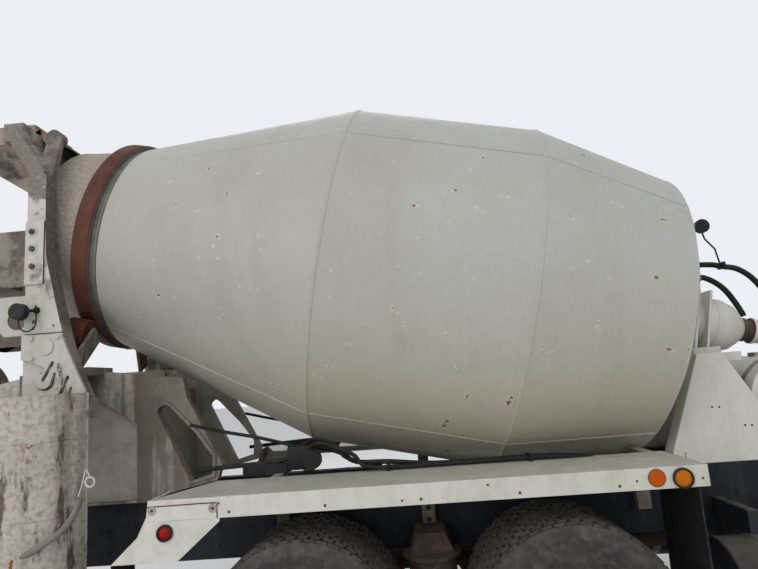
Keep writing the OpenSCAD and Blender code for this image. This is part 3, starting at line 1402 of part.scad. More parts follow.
frame_rails();
subframe();
front_bumper();
front_axle();
front_springs();
tandem_axles();
walking_beams();
suspension_posts();
cab_shell();
cab_glass();
seats();
dashboard();
engine_block();
exhaust_stack();
fuel_tanks();
step_boxes();
rear_fenders();
mud_flaps();
lamps();
work_lamps();
front_pedestal();
gearbox();
drive_motor();
water_tank();
hoses();
rear_pedestal();
rear_posts();
drum_rollers();
hook_plates();
extension_chutes();
charge_hopper();
discharge_collector();
chute_bracket();
drum_shell();
drum_ring();
knuckle_left();
knuckle_right();
front_tyre_left();
front_tyre_right();
front_wheel_left();
front_wheel_right();
tyres_front_left();
tyres_front_right();
tyres_rear_left();
tyres_rear_right();
wheels_front_left();
wheels_front_right();
wheels_rear_left();
wheels_rear_right();
door_left();
door_right();
door_glass_left();
door_glass_right();
hood();
grille_headlamps();
chute_turntable();
main_chute();
fold_chute();
lift_barrel();
lift_rod();
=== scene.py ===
import bpy
import bmesh
import json
import math
from mathutils import Matrix, Vector, noise

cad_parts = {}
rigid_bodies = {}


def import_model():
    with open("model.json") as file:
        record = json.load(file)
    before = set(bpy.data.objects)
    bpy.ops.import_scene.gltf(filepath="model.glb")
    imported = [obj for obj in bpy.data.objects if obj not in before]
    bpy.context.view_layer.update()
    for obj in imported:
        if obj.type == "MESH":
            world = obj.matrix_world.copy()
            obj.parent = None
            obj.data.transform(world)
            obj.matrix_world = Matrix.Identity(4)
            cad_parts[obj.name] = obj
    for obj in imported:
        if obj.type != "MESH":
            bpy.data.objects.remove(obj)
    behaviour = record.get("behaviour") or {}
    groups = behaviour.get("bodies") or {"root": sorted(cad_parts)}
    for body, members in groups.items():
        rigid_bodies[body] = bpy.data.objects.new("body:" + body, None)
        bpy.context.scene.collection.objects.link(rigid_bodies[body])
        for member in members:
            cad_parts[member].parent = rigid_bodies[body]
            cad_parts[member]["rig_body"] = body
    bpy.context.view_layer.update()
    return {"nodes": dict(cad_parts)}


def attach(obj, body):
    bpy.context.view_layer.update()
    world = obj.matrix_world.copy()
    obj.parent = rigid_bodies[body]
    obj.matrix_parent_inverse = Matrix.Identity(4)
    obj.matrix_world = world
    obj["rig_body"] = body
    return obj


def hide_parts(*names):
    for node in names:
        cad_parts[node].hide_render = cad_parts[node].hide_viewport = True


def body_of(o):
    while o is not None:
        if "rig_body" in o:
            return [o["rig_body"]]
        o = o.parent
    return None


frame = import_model()
nodes = frame["nodes"]
print("frame loaded:", len(nodes), "nodes")

# metres, with the truck's front at +X and its near side, the one in the photo, at -Y
ahead, sideWay, upWay = Vector((1, 0, 0)), Vector((0, 1, 0)), Vector((0, 0, 1))
near = Vector((0, -1, 0))

# places on the drum that several pieces share, as distances along its axis and radii
drum = {
    "start": Vector((-1.67, 0, 2.587)),  # rear weld of the widest section, on the axis
    "tilt": math.radians(12.6),
    "belly": 1.2,
    "frontEdge": 2.11,
    "nose": 2.29,
    "throat": -1.505,
    "neckEnd": -1.5615,
    "ringMid": -1.616,
    "mouth": -2.031,
    "mouthRadius": 0.67,
    "seams": (0.6445, -0.9609, 3.786, 2.181),  # angles of the lengthwise welds, up from the near side
}
drumAxis = Vector((math.cos(drum["tilt"]), 0, -math.sin(drum["tilt"])))
drumUp = Vector((math.sin(drum["tilt"]), 0, math.cos(drum["tilt"])))


def paint8(red, green, blue):
    # an 8-bit colour as Blender's linear one
    def linear(value):
        value /= 255
        return value / 12.92 if value <= 0.04045 else ((value + 0.055) / 1.055) ** 2.4
    return (linear(red), linear(green), linear(blue), 1)


def fillInputs(tree, node, inputs):
    # each input gets a link, where a socket is given, or a value
    for key, value in inputs.items():
        if isinstance(value, bpy.types.NodeSocket):
            tree.links.new(value, node.inputs[key])
        else:
            node.inputs[key].default_value = value


def addNode(tree, kind, inputs, **settings):
    node = tree.nodes.new(kind)
    for key, value in settings.items():
        setattr(node, key, value)
    fillInputs(tree, node, inputs)
    return node


def newMaterial(name):
    material = bpy.data.materials.new(name)
    material.use_nodes = True
    tree = material.node_tree
    return material, tree, tree.nodes["Principled BSDF"], tree.nodes.new("ShaderNodeTexCoord")


def rampFrom(tree, value, low, high):
    inputs = {"Value": value, "From Min": low, "From Max": high}
    return addNode(tree, "ShaderNodeMapRange", inputs).outputs[0]


def rampTo(tree, value, low, high):
    inputs = {"Value": value, "To Min": low, "To Max": high}
    return addNode(tree, "ShaderNodeMapRange", inputs).outputs[0]


def combine(tree, operation, first, second):
    return addNode(tree, "ShaderNodeMath", {0: first, 1: second}, operation=operation).outputs[0]


def times(tree, first, second):
    return combine(tree, "MULTIPLY", first, second)


def blendColour(tree, first, second, factor):
    # each colour is a socket or an 8-bit colour
    first, second = (colour if isinstance(colour, bpy.types.NodeSocket) else paint8(*colour)
                     for colour in (first, second))
    return addNode(tree, "ShaderNodeMix", {0: factor, 6: first, 7: second}, data_type="RGBA").outputs[2]


def heightRamp(tree, coords, low, high):
    return rampFrom(tree, addNode(tree, "ShaderNodeSeparateXYZ", {0: coords}).outputs[2], low, high)


clouds = {  # each mask's noise: scale, where the mask starts and is full, detail, shift
    "patch": (1.3, 0.38, 0.62, 5, 3), "runs": (1.0, 0.5, 0.72, 6, 11), "runPlaces": (1.1, 0.36, 0.6, 5, 17),
    "grime": (14, 0.46, 0.72, 8, 23), "grain": (70, 0.3, 0.7, 6, 0), "caked": (2.2, 0, 0.06, 10, 31),
    "ragged": (7, 0.3, 0.7, 9, 37), "lumps": (38, 0.35, 0.7, 8, 5), "chip": (17, 0, 0.015, 3, 41),
    "halo": (17, -0.04, -0.01, 3, 41), "dust": (6, 0.2, 0.6, 7, 53), "gloss": (9, 0.3, 0.7, 5, 61),
    "smear": (5, 0.3, 0.75, 5, 0), "lensDirt": (20, 0.4, 0.8, 5, 0),
}


def cloudMask(tree, coords, kind, scale=None, start=0, stretch=(1, 1, 1)):
    usualScale, low, high, detail, shift = clouds[kind]
    place = addNode(tree, "ShaderNodeMapping",
                    {"Vector": coords, "Scale": stretch, "Location": (shift, shift, shift)})
    cloud = addNode(tree, "ShaderNodeTexNoise", {"Vector": place.outputs[0], "Scale": scale or usualScale,
                                                 "Detail": detail, "Roughness": 0.62})
    return rampFrom(tree, cloud.outputs[0], start + low, start + high)


usualLook = {"runs": (9, 9, 0.7), "cakedStretch": (1, 1, 1), "bumpDepth": 0.004, "metal": 0, "shine": 0.4,
             "coat": 0, "glossSpread": (-0.07, 0.09), "lumpRise": 2.5}


def weathered(name, given):
    # paint or metal with patches, runs, grime, caked cement, chips and dust, each where its key is given
    look = {**usualLook, **given}
    material, tree, shader, texture = newMaterial(name)
    coords = texture.outputs["Object"]

    def cover(colour, key, mask):
        paint, strength = look[key]
        return blendColour(tree, colour, paint, times(tree, mask, strength))

    patch = cloudMask(tree, coords, "patch", look.get("patchScale"))
    colour = blendColour(tree, look["base"], look["tint"], patch)
    if "low" in look:
        colour = cover(colour, "low", heightRamp(tree, coords, *look["lowSpan"]))
    if "streak" in look:
        runs = cloudMask(tree, coords, "runs", stretch=look["runs"])
        colour = cover(colour, "streak", times(tree, runs, cloudMask(tree, coords, "runPlaces")))
    if "grime" in look:
        colour = cover(colour, "grime", cloudMask(tree, coords, "grime", look.get("grimeScale")))
    height = cloudMask(tree, coords, "grain", look.get("grainScale"))
    if "caked" in look:
        scale, start, stretch = look.get("cakedScale"), look["cakedFrom"], look["cakedStretch"]
        crust = cloudMask(tree, coords, "caked", scale, start, stretch)
        if "cakedRise" in look:  # all of it is caked above this height, with a ragged edge
            rise = heightRamp(tree, coords, *look["cakedRise"])
            above = combine(tree, "ADD", rise, cloudMask(tree, coords, "ragged"))
            crust = combine(tree, "MAXIMUM", crust, rampFrom(tree, above, 0.95, 1.1))
        lumps = cloudMask(tree, coords, "lumps")
        cake = blendColour(tree, look["caked"], look["cakedDark"], lumps)
        colour = blendColour(tree, colour, cake, crust)
        height = blendColour(tree, height, times(tree, lumps, look["lumpRise"]), crust)
    if "chip" in look:
        scale, start = look.get("chipScale"), look["chipFrom"]
        if "halo" in look:
            colour = cover(colour, "halo", cloudMask(tree, coords, "halo", scale, start))
        colour = blendColour(tree, colour, look["chip"], cloudMask(tree, coords, "chip", scale, start))
    if "dust" in look:
        facing = addNode(tree, "ShaderNodeSeparateXYZ", {0: texture.outputs["Normal"]}).outputs[2]
        upward = rampFrom(tree, facing, 0.1, 0.95)
        colour = cover(colour, "dust", times(tree, upward, cloudMask(tree, coords, "dust")))
    smooth, dull = look["glossSpread"]
    gloss = rampTo(tree, cloudMask(tree, coords, "gloss"), look["rough"] + smooth, look["rough"] + dull)
    bump = addNode(tree, "ShaderNodeBump",
                   {"Height": height, "Strength": look["bump"], "Distance": look["bumpDepth"]})
    fillInputs(tree, shader, {
        "Base Color": colour, "Roughness": gloss, "Normal": bump.outputs[0], "Metallic": look["metal"],
        "Specular IOR Level": look["shine"], "Coat Weight": look["coat"]})
    return material


cement = {"caked": (130, 122, 112), "cakedDark": (94, 85, 76)}
plainPaint = {"rough": 0.5, "bump": 0.1}
looks = {  # colours are 8-bit; streak, grime, low, halo and dust also give a strength
    "drumPaint": {
        "base": (169, 169, 163), "tint": (163, 160, 151), "patchScale": 0.8,
        "low": ((180, 172, 154), 0.85), "lowSpan": (2.3, 1.5), "streak": ((150, 143, 128), 0.45),
        "runs": (5, 5, 0.5), "grime": ((156, 149, 134), 0.3), "grimeScale": 26, "chip": (112, 88, 56),
        "chipFrom": 0.695, "chipScale": 11, "halo": ((198, 194, 180), 0.7), "rough": 0.46, "bump": 0.08,
        "grainScale": 45, "coat": 0.05},
    "whitePaint": {
        "base": (198, 197, 188), "tint": (190, 187, 176), "streak": ((148, 138, 122), 0.5),
        "grime": ((164, 156, 140), 0.4), "chip": (96, 66, 46), "chipFrom": 0.735,
        "dust": ((160, 153, 139), 0.55), **plainPaint},
    "cleanPaint": {
        "base": (212, 211, 203), "tint": (205, 203, 193), "streak": ((166, 158, 142), 0.35),
        "grime": ((180, 174, 160), 0.3), "chip": (120, 96, 66), "chipFrom": 0.76, **plainPaint},
    "postPaint": {
        "base": (190, 186, 178), "tint": (180, 175, 165), "runs": (7, 7, 0.5),
        "streak": ((146, 137, 124), 0.7), "grime": ((150, 141, 128), 0.45), **cement, "cakedFrom": 0.66,
        "cakedRise": (2.85, 3.25), "chip": (104, 66, 44), "chipFrom": 0.71, "rough": 0.62, "bump": 0.3,
        "bumpDepth": 0.005},
    "chutePaint": {
        "base": (186, 181, 171), "tint": (170, 163, 152), "runs": (9, 9, 0.4),
        "streak": ((104, 88, 74), 0.9), "grime": ((118, 106, 93), 0.8), "grimeScale": 34,
        "caked": (104, 90, 77), "cakedDark": (62, 50, 41), "cakedFrom": 0.565, "cakedScale": 9,
        "cakedStretch": (1, 1, 0.3), "chip": (124, 70, 36), "chipFrom": 0.7, "chipScale": 13,
        "rough": 0.7, "bump": 0.4, "bumpDepth": 0.005},
    "shellPaint": {
        "base": (122, 114, 103), "tint": (98, 89, 79), "runs": (11, 11, 0.9),
        "streak": ((192, 187, 178), 0.95), "grime": ((88, 79, 69), 0.7), **cement, "cakedFrom": 0.6,
        "rough": 0.8, "bump": 0.35, "bumpDepth": 0.005},
    "panelPaint": {
        "base": (180, 173, 162), "tint": (166, 158, 146), "runs": (14, 14, 0.4),
        "streak": ((112, 103, 92), 0.8), "grime": ((126, 117, 105), 0.6), "rough": 0.75, "bump": 0.25},
    "crust": {
        "base": (152, 144, 134), "tint": (136, 127, 116), "streak": ((102, 92, 81), 0.6),
        "grime": ((160, 152, 141), 0.6), "grimeScale": 44, "caked": (140, 132, 122),
        "cakedDark": (110, 100, 90), "cakedFrom": 0.5, "shine": 0.2, "rough": 0.92, "bump": 0.9,
        "bumpDepth": 0.01, "grainScale": 60},
    # a lighter copy of the crust, as painted light: the neck sits in shade under the arms, posts and hopper,
    # and this makes it come out as light as a lit neck
    "neckCrustPaintedLight": {
        "base": (180, 170, 157), "tint": (160, 150, 137), "runs": (4, 4, 4),
        "streak": ((128, 118, 106), 0.6), "grime": ((204, 196, 184), 0.7), "grimeScale": 50,
        "shine": 0.2, "rough": 0.92, "bump": 1.0, "bumpDepth": 0.01, "grainScale": 40},
    "hopperCrust": {
        "base": (180, 172, 161), "tint": (152, 133, 115), "patchScale": 2.4, "shine": 0.2,
        "streak": ((92, 72, 56), 0.7), "grime": ((146, 139, 128), 0.6), "grimeScale": 22, **cement,
        "cakedFrom": 0.56, "chip": (96, 56, 36), "chipFrom": 0.68, "rough": 0.88, "bump": 0.7,
        "bumpDepth": 0.009, "grainScale": 60},
    "rust": {
        "base": (88, 49, 35), "tint": (72, 39, 28), "grime": ((110, 69, 49), 0.4), "rough": 0.62,
        "bump": 0.12, "shine": 0.25},
    "oldBolt": {
        "base": (92, 80, 69), "tint": (70, 56, 46), "patchScale": 30, "grime": ((128, 120, 108), 0.6),
        "grimeScale": 60, "rough": 0.7, "bump": 0.3},
    "rustRun": {
        "base": (176, 124, 66), "tint": (150, 92, 44), "patchScale": 12,
        "grime": ((186, 168, 140), 0.7), "rough": 0.7, "bump": 0.2},
    "casting": {
        "base": (82, 66, 55), "tint": (64, 53, 46), "grime": ((110, 94, 78), 0.7),
        "dust": ((118, 105, 88), 0.6), "rough": 0.85, "bump": 0.4},
    # dark grey of the seat rings and of the track ring's front face: painted shade of the gap between the
    # cone and the ring
    "seatBandShade": {
        "base": (104, 101, 97), "tint": (86, 82, 76), "grime": ((128, 120, 108), 0.5), "rough": 0.7,
        "bump": 0.3},
    "frameDark": {
        "base": (20, 25, 37), "tint": (26, 30, 39), "grime": ((54, 52, 50), 0.5),
        "streak": ((66, 62, 57), 0.5), "dust": ((92, 85, 74), 0.65), "shine": 0.2, "rough": 0.55,
        "bump": 0.15},
    "steel": {
        "base": (150, 148, 142), "tint": (124, 120, 112), "grime": ((98, 84, 68), 0.6), "rough": 0.4,
        "metal": 0.8, "bump": 0.15},
    "tyreRubber": {
        "base": (50, 49, 50), "tint": (62, 60, 58), "patchScale": 5, "grime": ((98, 92, 85), 0.75),
        "grimeScale": 18, "dust": ((108, 100, 90), 0.5), "shine": 0.2, "rough": 0.85, "bump": 0.3},
    "blackRubber": {
        "base": (24, 25, 26), "tint": (32, 32, 32), "grime": ((60, 57, 52), 0.5), "shine": 0.2,
        "rough": 0.55, "bump": 0.12},
    "greyHose": {
        "base": (116, 111, 103), "tint": (100, 95, 88), "grime": ((128, 122, 112), 0.5), "rough": 0.6,
        "bump": 0.12},
    "darkPlastic": {
        "base": (30, 30, 32), "tint": (38, 37, 37), "grime": ((60, 57, 53), 0.4), "shine": 0.2,
        "rough": 0.5, "bump": 0.25, "grainScale": 300},
    "seatCloth": {
        "base": (52, 54, 60), "tint": (44, 45, 50), "grime": ((70, 66, 60), 0.5), "rough": 0.95,
        "bump": 0.5, "grainScale": 500},
    "wheelPaint": {
        "base": (182, 179, 169), "tint": (164, 159, 146), "grime": ((114, 101, 86), 0.8),
        "streak": ((100, 82, 66), 0.6), "chip": (96, 62, 42), "chipFrom": 0.68, "rough": 0.55,
        "bump": 0.15},
    "mirrorGlass": {
        "base": (168, 176, 180), "tint": (158, 166, 170), "rough": 0.1, "metal": 1, "bump": 0.01},
}


glassLook = {"colour": (176, 196, 196), "rough": (0.02, 0.14), "ior": 1.45, "clear": 0.9}


def clearGlass(name, look):
    material, tree, shader, texture = newMaterial(name)
    haze = rampTo(tree, cloudMask(tree, texture.outputs["Object"], "smear"), *look["rough"])
    fillInputs(tree, shader, {"Base Color": paint8(*look["colour"]), "Roughness": haze, "IOR": look["ior"],
                              "Transmission Weight": look["clear"]})
    return material


lensLook = {
    "colours": {"amber": (182, 100, 4), "orange": (178, 76, 2), "red": (136, 16, 18),
                "clearLens": (196, 199, 200)},
    "dirt": (120, 96, 70), "film": 0.12, "facets": 160.0, "facetDepth": 0.002, "rough": 0.3, "shine": 0.1,
}


def lampLens(name, colour):
    material, tree, shader, texture = newMaterial(name)
    coords = texture.outputs["Object"]
    cells = addNode(tree, "ShaderNodeTexVoronoi", {"Vector": coords, "Scale": lensLook["facets"]})
    facet = addNode(tree, "ShaderNodeBump", {"Height": cells.outputs[0], "Strength": 0.4,
                                             "Distance": lensLook["facetDepth"]})
    dirt = times(tree, cloudMask(tree, coords, "lensDirt"), lensLook["film"])
    fillInputs(tree, shader, {
        "Base Color": blendColour(tree, colour, lensLook["dirt"], dirt), "Normal": facet.outputs[0],
        "Roughness": lensLook["rough"], "Specular IOR Level": lensLook["shine"]})
    return material


finishes = {name: weathered(name, look) for name, look in looks.items()}
finishes["glass"] = clearGlass("glass", glassLook)
finishes.update({name: lampLens(name, colour) for name, colour in lensLook["colours"].items()})
print("materials made:", len(finishes))


def linkObject(name, data):
    made = bpy.data.objects.new(name, data)
    bpy.context.scene.collection.objects.link(made)
    return made


def meshOf(shape, name):
    mesh = bpy.data.meshes.new(name)
    shape.to_mesh(mesh)
    shape.free()
    return mesh


def makePiece(shape, name, material, body="chassis", node=None, angle=32, extra=()):
    mesh = meshOf(shape, name)
    piece = linkObject(name, mesh)
    for finish in (material, *extra):
        mesh.materials.append(finishes[finish])
    mesh.shade_smooth()
    mesh.set_sharp_from_angle(angle=math.radians(angle))
    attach(piece, body)
    if node:
        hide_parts(node)
    return piece


def outward(shape):
    bmesh.ops.remove_doubles(shape, verts=shape.verts, dist=0.00002)
    bmesh.ops.recalc_face_normals(shape, faces=shape.faces)
    return shape


def mirrored(shape):
    # adds the far side of what is made on the near side
    bmesh.ops.mirror(shape, geom=shape.verts[:] + shape.edges[:] + shape.faces[:], matrix=Matrix(),
                     merge_dist=0, axis="Y")
    return outward(shape)


def spinShape(shape, profile, centre, axis, start, steps, closed=True):
    # profile: pairs of radius and distance along the axis; start: the direction of the first section
    verts = [shape.verts.new(centre + axis * distance + start * radius) for radius, distance in profile]
    edges = [shape.edges.new((a, b)) for a, b in zip(verts, verts[1:])]
    if closed:
        edges.append(shape.edges.new((verts[-1], verts[0])))
    bmesh.ops.spin(shape, geom=verts + edges, cent=centre, axis=axis, dvec=(0, 0, 0), angle=math.tau,
                   steps=steps, use_merge=True, use_duplicate=False)


def band(inner, outer, low, high):
    # the profile of a flat hoop
    return [(inner, low), (outer, low), (outer, high), (inner, high)]


def aim(direction):
    return Vector(direction).normalized().to_track_quat("Z", "Y").to_matrix().to_4x4()


def addRound(shape, centre, direction, radius, depth, segments, top=None):
    middle = Vector(centre) + Vector(direction).normalized() * depth / 2
    return bmesh.ops.create_cone(shape, cap_ends=True, segments=segments, radius1=radius,
                                 radius2=radius if top is None else top, depth=depth,
                                 matrix=Matrix.Translation(middle) @ aim(direction))["verts"]


def addBolt(shape, centre, direction, radius, head):
    washer = 0.003
    seat = Vector(centre) + Vector(direction).normalized() * washer
    addRound(shape, centre, direction, radius * 1.55, washer, 14)
    addRound(shape, seat, direction, radius, head, 6, radius * 0.93)


def addBox(shape, low, high, bevel=0.0, segments=1):
    low, high = Vector(low), Vector(high)
    place = Matrix.Translation((low + high) / 2) @ Matrix.Diagonal((*(high - low), 1))
    verts = bmesh.ops.create_cube(shape, size=1, matrix=place)["verts"]
    if bevel:
        edges = list({edge for vert in verts for edge in vert.link_edges})
        bmesh.ops.bevel(shape, geom=edges, offset=bevel, offset_type="OFFSET", affect="EDGES",
                        segments=segments, profile=0.5, material=-1)


def smoothRoute(points, steps):
    # a curve through the points, as a Catmull-Rom spline
    points = [Vector(p) for p in points]
    ends = [points[0] * 2 - points[1], *points, points[-1] * 2 - points[-2]]
    route = []
    for i in range(1, len(ends) - 2):
        a, b, c, d = ends[i - 1:i + 3]
        for k in range(steps):
            t = k / steps
            square, cube = (2 * a - 5 * b + 4 * c - d) * t * t, (3 * b - a - 3 * c + d) * t ** 3
            route.append(0.5 * (2 * b + (c - a) * t + square + cube))
    return route + [points[-1]]


def addTube(shape, points, radius, sides, smooth=0):
    route = smoothRoute(points, smooth) if smooth else [Vector(p) for p in points]
    ways = [(b - a).normalized() for a, b in zip(route, route[1:])]
    side = ways[0].orthogonal().normalized()
    rings = []
    for i, point in enumerate(route):
        way = (ways[max(i - 1, 0)] + ways[min(i, len(ways) - 1)]).normalized()
        side = (side - way * side.dot(way)).normalized()
        turn = Matrix((side, way.cross(side), way)).transposed().to_4x4()
        rings.append(bmesh.ops.create_circle(shape, cap_ends=False, segments=sides, radius=radius,
                                             matrix=Matrix.Translation(point) @ turn)["verts"])
    for first, second in zip(rings, rings[1:]):
        for i in range(sides):
            k = (i + 1) % sides
            shape.faces.new((first[i], first[k], second[k], second[i]))
    shape.faces.new(rings[0][::-1])
    shape.faces.new(rings[-1])


def loopPoints(centre, first, second, count):
    # points round an ellipse, given its middle and two half axes
    turns = [math.tau * k / count for k in range(count + 1)]
    return [centre + first * math.cos(turn) + second * math.sin(turn) for turn in turns]


def awayFrom(axis, offset):
    # the part of an offset that is square to an axis
    return offset - axis * offset.dot(axis)


def along(distance, radius, angle):
    # a point on the drum: angle 0 is the near side, and it grows upwards
    return (drum["start"] + drumAxis * distance
            + (-sideWay * math.cos(angle) + drumUp * math.sin(angle)) * radius)


def spinOnDrum(shape, profile, steps):
    spinShape(shape, profile, drum["start"], drumAxis, -sideWay, steps)


def roughen(shape, scale, sink, depth, picks):
    # dents round the drum's axis, where picks says so for a distance along it and a radius
    for vert in shape.verts:
        offset = vert.co - drum["start"]
        flat = awayFrom(drumAxis, offset)
        if picks(offset.dot(drumAxis), flat.length):
            vert.co += flat.normalized() * (noise.noise(vert.co * scale) - sink) * depth


drumShape = {
    "steps": 128, "belly": 1.197, "bead": 0.005, "beadHalf": 0.011,
    "cone": (0.76, 1.2),  # radii of the rear cone, at the throat and at the belly
    "rearWelds": (-1.02, -0.5),  # faint welds between the cone's plates
    "collar": [(0.722, drum["neckEnd"]), (0.722, -1.513), (0.76, drum["throat"])],
    "head": [(0.86, 2.172), (0.7, 2.222), (0.5, 2.262), (0.25, 2.289), (0.2, drum["nose"]), (0.2, 2.349),
             (0.06, 2.349)],
    "inside": [(0.06, 2.28), (0.24, 2.28), (0.95, 2.1), (1.185, drum["belly"]), (1.185, 0),
               (0.748, drum["throat"]), (0.71, drum["neckEnd"])],
    "dents": {"scale": 1.6, "sink": 0.6, "depth": 0.0025, "within": 0.3},
}


def drumProfile():
    # the outside of the shell, from the neck to the front flange
    bead, half, edge = drumShape["bead"], drumShape["beadHalf"], drum["frontEdge"]

    def weld(distance, radius):
        return [(radius, distance - half), (radius + bead, distance - half * 0.5),
                (radius + bead, distance + half * 0.5), (radius, distance + half)]

    outer = list(drumShape["collar"])
    small, large = drumShape["cone"]
    for distance in drumShape["rearWelds"]:
        radius = small + (large - small) * (distance - drum["throat"]) / -drum["throat"]
        outer += [(radius - 0.001, distance - 0.006), (radius + 0.0012, distance),
                  (radius + 0.001, distance + 0.006)]
    outer += weld(0, drumShape["belly"]) + weld(drum["belly"], drumShape["belly"])
    return outer + [(0.966, edge - 0.006), (0.966, edge + 0.004), (0.952, edge + 0.012), *drumShape["head"]]


def drumShell():
    shape, dents = bmesh.new(), drumShape["dents"]
    spinOnDrum(shape, drumProfile() + drumShape["inside"], drumShape["steps"])
    outward(shape)
    roughen(shape, dents["scale"], dents["sink"], dents["depth"],
            lambda distance, radius: radius > dents["within"])
    makePiece(shape, "drumShell", "drumPaint", "drum", "drum_shell", angle=14)


neckShape = {"wall": 0.01, "radius": 0.722, "start": -1.671, "stops": (-1.672, -1.76, -1.85, -1.94),
             "lumps": {"scale": 9, "sink": 0.9, "depth": 0.003}}


def neckRadius(distance):
    # outer radius of the neck, from the track ring to the mouth
    start, radius = neckShape["start"], neckShape["radius"]
    share = min(max((start - distance) / (start - drum["mouth"]), 0), 1)
    return radius + (drum["mouthRadius"] - radius) * share


def drumNeck():
    shape, lumps = bmesh.new(), neckShape["lumps"]
    mouth, edge, wall, root = drum["mouth"], drum["mouthRadius"], neckShape["wall"], neckShape["radius"]
    stops = (*neckShape["stops"], mouth + 0.025)
    profile = [(root, drum["neckEnd"])] + [(neckRadius(s), s) for s in stops]
    profile += [(edge, mouth + 0.012), (edge, mouth), (neckRadius(mouth) - wall - 0.008, mouth)]
    profile += [(neckRadius(s) - wall, s) for s in reversed(stops)] + [(root - wall, drum["neckEnd"])]
    spinOnDrum(shape, profile, 128)
    outward(shape)
    roughen(shape, lumps["scale"], lumps["sink"], lumps["depth"],
            lambda distance, radius: mouth + 0.01 < distance < -1.68)
    # the neck takes the lighter crust, which is painted light
    makePiece(shape, "drumNeck", "neckCrustPaintedLight", "drum", angle=40)


def drumSeat():
    # the two flat rings that the cone and the track ring seat on, dark grey as painted shade of the gap
    # between the cone and the ring
    shape = bmesh.new()
    for low, high, radius in ((-1.559, -1.54, 0.746), (-1.534, -1.514, 0.752)):
        spinOnDrum(shape, band(0.7225, radius, low, high), 128)
    makePiece(outward(shape), "drumSeat", "seatBandShade", "drum")


weldLook = {"radius": 0.0042, "sink": 0.0015, "pieces": 12,
            "runs": [(-1.5, 0.7605, -0.012, 1.1965), (0.012, 1.1975, drum["belly"] - 0.012, 1.1975),
                     (drum["belly"] + 0.012, 1.1955, drum["frontEdge"] - 0.01, 0.9665)]}


def drumWelds():
    shape, count = bmesh.new(), weldLook["pieces"]
    for start, radius, end, radiusEnd in weldLook["runs"]:
        for angle in drum["seams"]:
            points = [along(start + (end - start) * i / count,
                            radius + (radiusEnd - radius) * i / count - weldLook["sink"], angle)
                      for i in range(count + 1)]
            addTube(shape, points, weldLook["radius"], 6)
    makePiece(outward(shape), "drumWelds", "drumPaint", "drum", angle=60)


bladeShape = {
    "turns": 1.55, "length": 2.9, "steps": 72, "sheet": 0.008, "lean": 0.03, "gap": 0.012, "neckWall": 0.016,
    "depth": (0.16, 0.12), "grown": 20,  # depth at the mouth, what it gains, and over how many steps
    "coneFrom": -1.56, "cone": (0.74, 1.18),  # inside radii of the rear cone, at its start and at the belly
}


def drumBlades():
    # two spiral blades, seen through the mouth
    shape, steps, start = bmesh.new(), bladeShape["steps"], bladeShape["coneFrom"]
    (small, large), (shallow, deeper) = bladeShape["cone"], bladeShape["depth"]
    for turn in (0, math.pi):
        rows = []
        for i in range(steps + 1):
            distance = drum["mouth"] + 0.03 + bladeShape["length"] * i / steps
            if distance < start:
                wall = neckRadius(distance) - bladeShape["neckWall"]
            else:
                wall = small + (large - small) * min(1, (distance - start) / -start)
            angle = turn + bladeShape["turns"] * math.tau * i / steps
            depth = shallow + deeper * min(1, i / bladeShape["grown"])
            rows.append([shape.verts.new(along(distance, wall - bladeShape["gap"], angle)),
                         shape.verts.new(along(distance - bladeShape["lean"], wall - depth, angle))])
        for first, second in zip(rows, rows[1:]):
            shape.faces.new((first[0], first[1], second[1], second[0]))
    bmesh.ops.recalc_face_normals(shape, faces=shape.faces)
    bmesh.ops.solidify(shape, geom=shape.faces[:], thickness=bladeShape["sheet"])
    makePiece(shape, "drumBlades", "crust", "drum", angle=40)


ringShape = {"half": 0.055, "inner": 0.7225, "edge": [(0.77, 0), (0.7765, 0.007), (0.778, 0.016)]}


def trackRing():
    shape, middle, half = bmesh.new(), drum["ringMid"], ringShape["half"]
    low, high, inner, edge = middle - half, middle + half, ringShape["inner"], ringShape["edge"]
    profile = [(inner, low), *((radius, low + rise) for radius, rise in edge), (0.7775, middle),
               *((radius, high - rise) for radius, rise in reversed(edge)), (inner, high)]
    spinOnDrum(shape, profile, 144)
    outward(shape)
    for face in shape.faces:  # the front face, next to the cone, is dark grey as painted shade of the gap
        face.material_index = int(face.normal.dot(drumAxis) > 0.75)
    makePiece(shape, "trackRing", "rust", "drum", "drum_ring", angle=24,
              extra=("seatBandShade",))


drumShell()
drumNeck()
drumSeat()
drumWelds()
drumBlades()
trackRing()
print("drum made")


axles = {"front": 4.1, "frontTrack": 1.02, "tandem": {"front": -0.51, "rear": -1.882},
         "tandemTrack": 0.911}  # each track is half the distance between the two sides' wheels
rearTyre = {"radius": 0.52, "width": 0.279, "bead": 0.286, "pitches": 50, "spread": 0.1715}
frontTyre = {"radius": 0.53, "width": 0.385, "bead": 0.286, "pitches": 54}
sidewall = {  # height above the bead or below the tread, and half the width there as a share of the width
    "low": [(0.001, 0.36), (0.012, 0.42), (0.022, 0.425), (0.03, 0.445), (0.075, 0.485), (0.08, 0.492),
            (0.088, 0.492), (0.093, 0.487)],
    "widest": 0.499,
    "high": [(0.085, 0.494), (0.08, 0.499), (0.072, 0.499), (0.067, 0.49), (0.045, 0.468), (0.02, 0.43),
             (0.0145, 0.4)],
}
tread = {
    "rows": [  # share of the half width, width of the block as that share, half a pitch of offset
        (0.74, 0.27, 0), (0.4, 0.25, 1), (0.0, 0.34, 0), (-0.4, 0.25, 1), (-0.74, 0.27, 0)],
    "length": 0.8, "depth": 0.018, "sink": 0.0095, "edge": 0.0035, "skew": (-0.2, 0.25),
    "shoulderDrop": 0.012, "shoulderReach": 1.12, "inset": 0.93,
}


